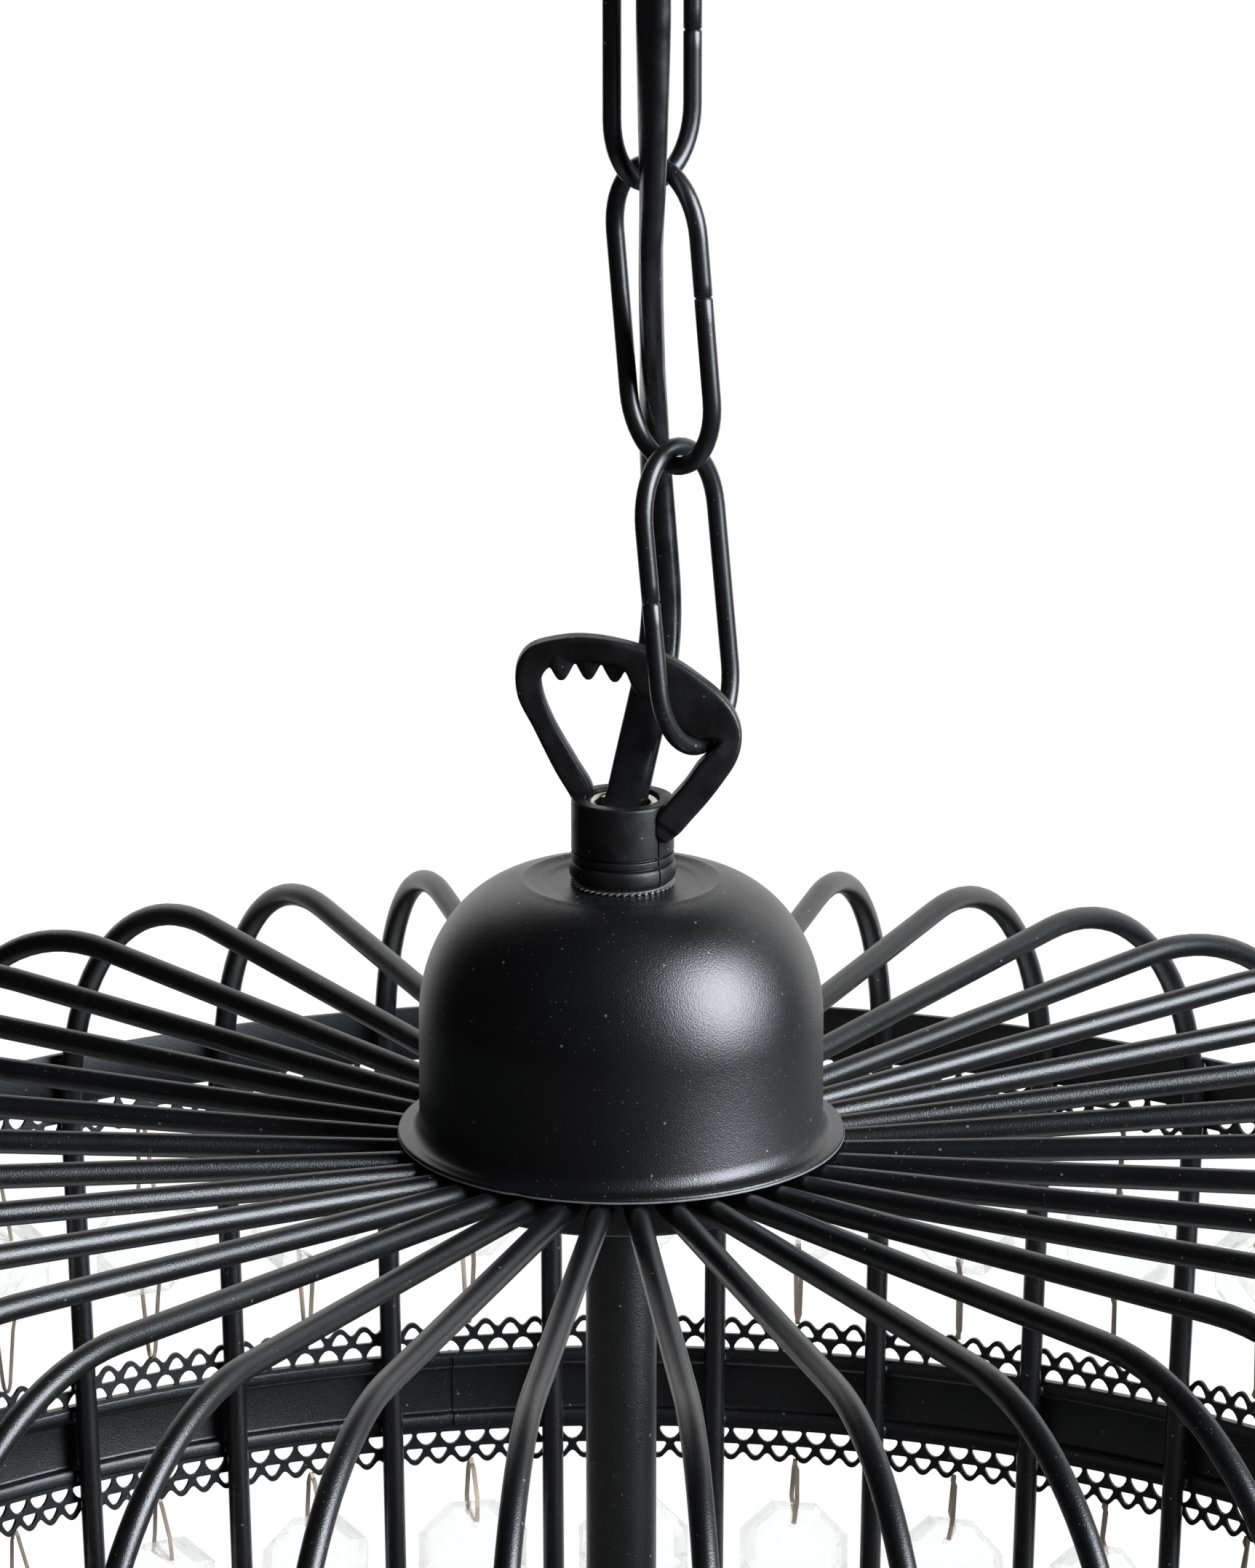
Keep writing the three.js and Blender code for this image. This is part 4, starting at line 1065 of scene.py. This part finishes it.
class CHANDELIER_OT_bands(bpy.types.Operator):
    """Three hoops round the rods and the perforated wavy strips along their edges"""

    bl_idname = "chandelier.bands"
    bl_label = "Bands"

    def execute(self, context):
        sizes = context.scene.chandelier_sizes
        thick = sizes.band_thickness
        touch = sizes.rod_diameter / 2
        slope = math.tan(WALL_LEAN)
        for name, node, (low, high), level, lean in (
            ("top_hoop", "top_band", TOP_BAND, TOP_BAND[0], 0),
            ("bottom_hoop", "bottom_band", LOW_BAND, LOW_BAND[1], slope),
        ):
            inner = wall_radius(level) + touch
            drop = (high - low) * lean
            places = ((inner - drop, low), (inner - drop + thick, low), (inner + thick, high), (inner, high))
            corners = [(*place, 0.2 * MM) for place in places]
            turned_piece(name, corners, 288, powder_coat(), "black_steel", [node], steps=2)
        self.middle(thick, touch)
        tree = self.strip_tree()
        for name, node, level, hand in (
            ("top_strip", "top_band", TOP_BAND[0], -1), ("mid_strip_upper", "mid_band", MID_BAND[1], 1),
            ("mid_strip_lower", "mid_band", MID_BAND[0], -1), ("bottom_strip", "bottom_band", LOW_BAND[1], 1),
        ):
            radius = wall_radius(level) + touch + 0.05 * MM
            pitch = 2 * math.pi * radius / sizes.strip_cells
            values = {
                "Cells": sizes.strip_cells, "Pitch": pitch, "Radius": radius, "Level": level, "Slope": slope,
                "Thickness": sizes.strip_thickness, "Axis": LAMP, "Material": powder_coat(),
            }
            grown_piece(name, self.cell(pitch, hand), tree, values, [node])
        return {"FINISHED"}

    def middle(self, thick, touch):
        """A channel: two lips that touch the rods and a web that stands off them."""
        low, high = MID_BAND
        lip, stand = 3.1 * MM, 1.6 * MM

        def inner(level):
            return wall_radius(level) + touch

        corners = []
        for level, out, fillet in (
            (low, 0, 0.9), (low, stand + thick, 1.3), (high, stand + thick, 1.3), (high, 0, 0.9),
            (high - lip, 0, 1.5), (high - lip, stand, 0.6), (low + lip, stand, 0.6), (low + lip, 0, 1.5),
        ):
            corners.append((inner(level) + out, level, fillet * MM))
        seam, half = 190.4 * DEGREE, 0.1 * DEGREE

        def butted(radius, level, angle):
            """The butt joint of the hoop, at the back, filled a little short of flush."""
            inside = abs(angle - seam) < half and radius < inner(level) + stand + thick / 2
            return radius + 0.35 * MM if inside else radius

        turned_piece(
            "middle_hoop", corners, 288, powder_coat(), "black_steel", ["mid_band"], steps=5,
            radius_at=butted, seam=(seam, half),
        )

    def cell(self, pitch, hand):
        """One cell of the strip, flat: a domed hole, half a pointed hole at each side and a wavy edge."""
        half = pitch / 2
        hole = [
            (0, -0.8), (0, 3.25), (1.25, 3.25), (1.58, 3.5), (1.52, 3.95), (1.1, 4.7), (0.6, 5.35), (0, 5.6), (0, 6.5),
        ]
        right = [(half - x * MM, y * MM) for x, y in hole]
        wave = []
        for k in range(1, 12):
            x = half - pitch * k / 12
            turn = 2 * math.pi * (x - half) / pitch
            wave.append((x, (5.8 + 0.8 * math.cos(turn) - 0.1 * math.cos(2 * turn)) * MM))
        dome = [(-1.65, 0.2), (1.65, 0.2), (1.96, 0.5), (1.85, 1.1), (1.35, 1.9), (0.7, 2.5), (0, 2.7)]
        dome += [(-x, y) for x, y in dome[5:1:-1]]
        shape = bmesh.new()
        edges = []
        for loop in (right + wave + [(-x, y) for x, y in reversed(right)], mm(dome)):
            points = [shape.verts.new((x, hand * y, 0)) for x, y in loop]
            edges += [shape.edges.new((a, b)) for a, b in zip(points, points[1:] + points[:1])]
        bmesh.ops.triangle_fill(shape, use_beauty=True, use_dissolve=False, edges=edges)
        for face in shape.faces:
            if face.normal.z < 0:
                face.normal_flip()
        mesh = bpy.data.meshes.new("strip cell")
        shape.to_mesh(mesh)
        shape.free()
        return mesh

    def strip_tree(self):
        """Lays cells in a row, gives them thickness and wraps the row round the cage's leaning wall."""
        lengths = ("Pitch", "Radius", "Level", "Slope", "Thickness")
        tree, source = node_group("Perforated strip", {"Cells": "Int", **dict.fromkeys(lengths, "Float")})
        merge, merging = "GeometryNodeMergeByDistance", {"Distance": 0.005 * MM}
        step = add(tree, "ShaderNodeCombineXYZ", {"X": source["Pitch"]})
        row = add(tree, "GeometryNodeMeshLine", {"Count": source["Cells"], "Offset": step})
        cells = add(tree, "GeometryNodeInstanceOnPoints", {"Points": row, "Instance": source["Geometry"]})
        real = add(tree, "GeometryNodeRealizeInstances", {"Geometry": cells})
        sheet = add(tree, merge, {"Geometry": real, **merging})
        raised = add(
            tree, "GeometryNodeExtrudeMesh",
            {"Mesh": sheet, "Offset Scale": source["Thickness"], "Individual": False}, mode="FACES",
        )
        back = add(tree, "GeometryNodeFlipFaces", {"Mesh": sheet})
        both = add(tree, "GeometryNodeJoinGeometry", {"Geometry": raised})
        tree.links.new(back.outputs[0], both.inputs[0])
        closed = add(tree, merge, {"Geometry": both, **merging})
        here = add(tree, "ShaderNodeSeparateXYZ", {"Vector": add(tree, "GeometryNodeInputPosition")}).outputs
        around = add(tree, "ShaderNodeMath", {0: source["Pitch"], 1: source["Cells"]}, operation="MULTIPLY")
        share = add(tree, "ShaderNodeMath", {0: here[0], 1: around}, operation="DIVIDE")
        angle = add(tree, "ShaderNodeMath", {0: share, 1: 2 * math.pi}, operation="MULTIPLY")
        out = add(tree, "ShaderNodeMath", {0: source["Radius"], 1: here[2]}, operation="ADD")
        leant = add(tree, "ShaderNodeMath", {0: here[1], 1: source["Slope"], 2: out}, operation="MULTIPLY_ADD")
        sine = add(tree, "ShaderNodeMath", {0: angle}, operation="SINE")
        cosine = add(tree, "ShaderNodeMath", {0: angle}, operation="COSINE")
        x = add(tree, "ShaderNodeMath", {0: sine, 1: leant}, operation="MULTIPLY")
        y = add(tree, "ShaderNodeMath", {0: cosine, 1: leant}, operation="MULTIPLY")
        front = add(tree, "ShaderNodeMath", {0: y, 1: -1.0}, operation="MULTIPLY")
        z = add(tree, "ShaderNodeMath", {0: here[1], 1: source["Level"]}, operation="ADD")
        wrapped = add(tree, "ShaderNodeCombineXYZ", {"X": x, "Y": front, "Z": z})
        on_axis = add(tree, "ShaderNodeVectorMath", {0: wrapped, 1: source["Axis"]}, operation="ADD")
        bent = add(tree, "GeometryNodeSetPosition", {"Geometry": closed, "Position": on_axis})
        return end_group(tree, source, bent)


class CHANDELIER_OT_crystals(bpy.types.Operator):
    """Two tiers of clear octagons in the gaps between rods, held by thin metal pins"""

    bl_idname = "chandelier.crystals"
    bl_label = "Crystals and pins"

    def execute(self, context):
        sizes = context.scene.chandelier_sizes
        hole_reach = sizes.crystal_width / 2 - PIN_HOLE_INSET
        nodes = [f"crystal_string_{i + 1:02d}" for i in range(RODS)]
        tree, source = node_group("Tier of octagons", ROUND_KINDS)
        end_round(tree, source, source["Geometry"], 0.0)
        for tier, level in zip(("upper", "lower"), CRYSTAL_LEVELS):
            octagon = self.octagon(sizes, hole_reach)
            lean = Matrix.Rotation(-WALL_LEAN, 4, "X")
            octagon.transform(Matrix.Translation((0, -self.radius(level), level)) @ lean)
            values = {**ROUND_VALUES, "Material": crystal_glass()}
            grown_piece(f"octagons_{tier}", octagon, tree, values, nodes, 5)
        lines = []
        for level, hand, band_edge in (
            (CRYSTAL_LEVELS[0], 1, TOP_BAND[0]), (CRYSTAL_LEVELS[0], -1, MID_BAND[1]),
            (CRYSTAL_LEVELS[1], 1, MID_BAND[0]), (CRYSTAL_LEVELS[1], -1, LOW_BAND[1]),
        ):
            lines.append(self.pin_line(level + hand * hole_reach, band_edge - hand * STRIP_DEPTH, hand))
        values = {"Width": sizes.pin_width, "Thickness": 0.16 * MM, **ROUND_VALUES, "Material": pin_metal()}
        pins = line_mesh("pin lines", lines, True)
        grown_piece("crystal_pins", pins, self.ribbon_tree(), values, nodes)
        return {"FINISHED"}

    def radius(self, level):
        return wall_radius(level) + 1.9 * MM

    def octagon(self, sizes, hole_reach):
        """A thick octagonal plate with bevelled faces, a thin girdle and a hole near two opposite sides."""
        girdle = sizes.crystal_width / 2 / math.cos(math.pi / 8)
        table = girdle * sizes.crystal_table
        deep = sizes.crystal_thickness / 2
        corners = [(k + 0.5) * math.pi / 4 for k in range(8)]
        shape = bmesh.new()
        rings = []
        for radius, y in ((table, -deep), (girdle, -0.5 * MM), (girdle, 0.5 * MM), (table, deep)):
            rings.append([shape.verts.new((radius * math.sin(a), y, radius * math.cos(a))) for a in corners])
        body = mesh_from("octagon", tube(shape, rings), 5)
        drills = bmesh.new()
        for hand in (-1, 1):
            line = [Vector((0, y * MM, hand * hole_reach)) for y in (-5, 0, 5)]
            sweep(line, X, oval(1.3 * MM, 1.3 * MM, 10), drills)
        return drilled(body, mesh_from("pin holes", drills))

    def pin_line(self, hole, strip, hand):
        """A hairpin: through the crystal's hole, a leg on each side of it, and together through the strip."""
        middle = -self.radius(hole)
        end = -(wall_radius(strip) + 2.3 * MM)
        rim = hole + hand * (PIN_HOLE_INSET + 0.5 * MM)
        wide = 0.8 * MM
        return [
            (0, middle, hole - hand * 0.3 * MM), (wide * 0.6, middle - 3.0 * MM, hole),
            (wide, middle - 1.6 * MM, rim), (wide * 0.5, end - 0.9 * MM, strip - hand * 1.2 * MM),
            (0.2 * MM, end - 0.75 * MM, strip), (0.05 * MM, end - 0.1 * MM, strip + hand * 0.9 * MM),
            (0, end + 0.55 * MM, strip), (-wide * 0.5, end + 0.4 * MM, strip - hand * 1.2 * MM),
            (-wide, middle + 1.6 * MM, rim), (-wide * 0.6, middle + 3.0 * MM, hole),
        ]

    def ribbon_tree(self):
        tree, source = node_group("Ribbon pins", {"Width": "Float", "Thickness": "Float", **ROUND_KINDS})
        line = add(tree, "GeometryNodeMeshToCurve", {"Mesh": source["Geometry"]})
        section = add(
            tree, "GeometryNodeCurvePrimitiveQuadrilateral",
            {"Width": source["Width"], "Height": source["Thickness"]},
        )
        ribbon = add(tree, "GeometryNodeCurveToMesh", {"Curve": line, "Profile Curve": section})
        return end_round(tree, source, ribbon, 0.0)


class CHANDELIER_OT_lampholder(bpy.types.Operator):
    """Centre tube and the lampholder at its lower end"""

    bl_idname = "chandelier.lampholder"
    bl_label = "Tube and lampholder"

    # Levels in millimetres in the lamp's frame
    tube_top, tube_low = -6.1, -100.1
    cap_low, skirt_low, insert_low, insert_top = -112.1, -152.4, -147.4, -112.4

    def execute(self, context):
        top, low, wall, bore = self.tube_top, self.tube_low, 5.85, 4.4
        corners = [
            (bore, low), (wall, low, 0.3), (wall, top, 0.3), (5.3, top), (5.3, -14.4), (bore, -14.4),
        ]
        turned_piece("stem_tube", mm(corners), 72, powder_coat(), "black_steel", ["centre_tube"])
        foot = self.cap_low
        corners = [
            (bore, foot + 1.6), (18.4, foot + 1.6), (18.4, foot), (20, foot, 0.3), (20, foot + 3.2, 1.2),
            (9.1, foot + 12, 2.2), (7.5, foot + 17, 0.7), (6.15, foot + 17), (6.15, low - 0.3), (bore, low - 0.3),
        ]
        turned_piece("holder_cap", mm(corners), 96, bakelite(), "black_plastic", ["lampholder_cap"], steps=5)
        self.skirt()
        low, top, outer, mouth, floor = self.insert_low, self.insert_top, 18.1, 13.5, self.insert_top - 5
        corners = [
            (3.5, floor), (mouth, floor), (mouth, low, 0.5), (outer, low, 0.8), (outer, top), (3.5, top),
        ]
        turned_piece("holder_insert", mm(corners), 96, glazed_ceramic(), "ceramic", ["lampholder_core"])
        self.shell(floor, low)
        return {"FINISHED"}

    def skirt(self):
        """The skirt, with the rings of its outside thread for a shade ring."""
        low, top, bore, root, crest = self.skirt_low, self.insert_top, 18.4, 19.4, 19.95
        turns, pitch = 10, 2.4
        corners = [(bore, low, 0.2), (19.6, low, 0.3)]
        for k in range(turns):
            level = low + 1.5 + pitch * k
            corners += [(root, level, 0.2), (crest, level + 0.9, 0.3), (root, level + 1.8, 0.2)]
        level = low + 1.5 + pitch * turns
        corners += [(root, level), (20, level + 1, 0.3), (20, top, 0.3), (bore, top)]
        turned_piece("holder_skirt", mm(corners), 96, bakelite(), "black_plastic", ["lampholder_skirt"], steps=3)

    def shell(self, top, low):
        """The brass screw shell inside the insert and the contact tongue at its end."""
        turns, pitch = 5, 3.6
        outer = [(13.4, low + 5)]
        for k in range(turns):
            level = low + 6 + pitch * k
            outer += [(12.7, level), (13.35, level + pitch / 2)]
        outer.append((13.2, top - 2))
        corners = [(r, z, 0.8) for r, z in outer] + [(r - 0.35, z, 0.8) for r, z in reversed(outer)]
        turned_piece("screw_shell", mm(corners), 72, brass(), "zinc_steel", steps=3)
        line = [(8, -0.2), (6, -0.6), (3, -2.6), (0, -4.2), (-2.6, -3.6)]
        line = curve_points([LAMP + Vector((x, 0, top + z)) * MM for x, z in line], 20)
        tongue = mesh_from("contact_tongue", sweep(line, Y, oval(5 * MM, 0.5 * MM, 12, 4)))
        place_piece(tongue, brass())


class CHANDELIER_OT_canopy(bpy.types.Operator):
    """Canopy cup, eye hook and the finishes of the ceiling fitting"""

    bl_idname = "chandelier.canopy"
    bl_label = "Canopy"

    def outline(self, inset):
        """The cup's wall in millimetres, from its floor up to its rim."""
        rim, floor, height = 50 - inset, 18, 33 - inset
        turns = arc(24, math.pi / 2)
        return [(floor + (rim - floor) * math.sin(t), -0.3 - height * math.cos(t)) for t in turns]

    def execute(self, context):
        floor, bore = -33.3, 3.3
        outline = [(bore, floor), *self.outline(0), *self.outline(1)[::-1], (bore, floor + 1)]
        blank = mesh_from("canopy blank", lathe(mm(outline), 160, Vector()), 40)
        line = [Vector((0, -14.6, z)) * MM for z in (-40, -20)]
        mesh = drilled(blank, mesh_from("cable hole", sweep(line, X, oval(11.6 * MM, 11.6 * MM, 48))))
        mesh.name = "canopy_shell"
        place_piece(mesh, powder_coat(), ["canopy_cup"], "canopy")
        self.hook()
        for name, look in (
            ("mounting_bar", zinc_plate()), ("hook_nut", powder_coat()), ("cable_grommet", moulded_nylon()),
            ("threaded_nipple", zinc_plate()), ("hub_nut", zinc_plate()),
        ):
            for slot in frame["nodes"][name].material_slots:
                slot.material = look
        return {"FINISHED"}

    def hook(self):
        """A threaded shank that tapers into an eye bent from thinner wire, with a gap at its end."""
        ring, centre, wire, shank = 7 * MM, -47 * MM, 4 * MM, 6 * MM
        gap = 2 * math.asin(4.3 * MM / 2 / ring)
        shape = sweep([Vector((0, 0, z * MM)) for z in (-2.8, -20, -38)], X, oval(shank, shank, 32))
        points = []
        for angle in arc(64, 2 * math.pi - gap):
            points.append(Vector((ring * math.sin(angle), 0, centre + ring * math.cos(angle))))
        sweep(points, Y, oval(wire, wire, 24), shape)
        taper = [oval(width * MM, width * MM, 32) for width in (6, 5.4, 4)]
        sweep([Vector((0, 0, z * MM)) for z in (-37.5, -39.5, -41.5)], X, lambda k: taper[k], shape)
        bmesh.ops.rotate(shape, cent=(0, 0, 0), matrix=Matrix.Rotation(-44 * DEGREE, 3, "Z"), verts=shape.verts)
        mesh = mesh_from("eye_hook", shape, 40)
        place_piece(mesh, coated_wire(), ["canopy_hook"], "canopy")


STEPS = (
    CHANDELIER_OT_stage,
    CHANDELIER_OT_flex,
    CHANDELIER_OT_chain,
    CHANDELIER_OT_cord_grip,
    CHANDELIER_OT_bell_cap,
    CHANDELIER_OT_cage,
    CHANDELIER_OT_bands,
    CHANDELIER_OT_crystals,
    CHANDELIER_OT_lampholder,
    CHANDELIER_OT_canopy,
)


class CHANDELIER_PT_pieces(bpy.types.Panel):
    """Lists the chandelier's pieces, sizes and colours"""

    bl_idname = "CHANDELIER_PT_pieces"
    bl_label = "Chandelier"
    bl_space_type = "VIEW_3D"
    bl_region_type = "UI"
    bl_category = "Chandelier"

    def draw(self, context):
        for step in STEPS:
            self.layout.operator(step.bl_idname)
        for group in (context.scene.chandelier_sizes, context.scene.chandelier_colours):
            box = self.layout.box()
            for name in group.__annotations__:
                box.prop(group, name)


CLASSES = (ChandelierSizes, ChandelierColours, *STEPS, CHANDELIER_PT_pieces)


def register():
    for item in CLASSES:
        bpy.utils.register_class(item)
    bpy.types.Scene.chandelier_sizes = bpy.props.PointerProperty(type=ChandelierSizes)
    bpy.types.Scene.chandelier_colours = bpy.props.PointerProperty(type=ChandelierColours)


def unregister():
    del bpy.types.Scene.chandelier_sizes
    del bpy.types.Scene.chandelier_colours
    for item in reversed(CLASSES):
        bpy.utils.unregister_class(item)


def main():
    register()
    for step in STEPS:
        family, name = step.bl_idname.split(".")
        getattr(getattr(bpy.ops, family), name)()


if __name__ == "__main__":
    main()
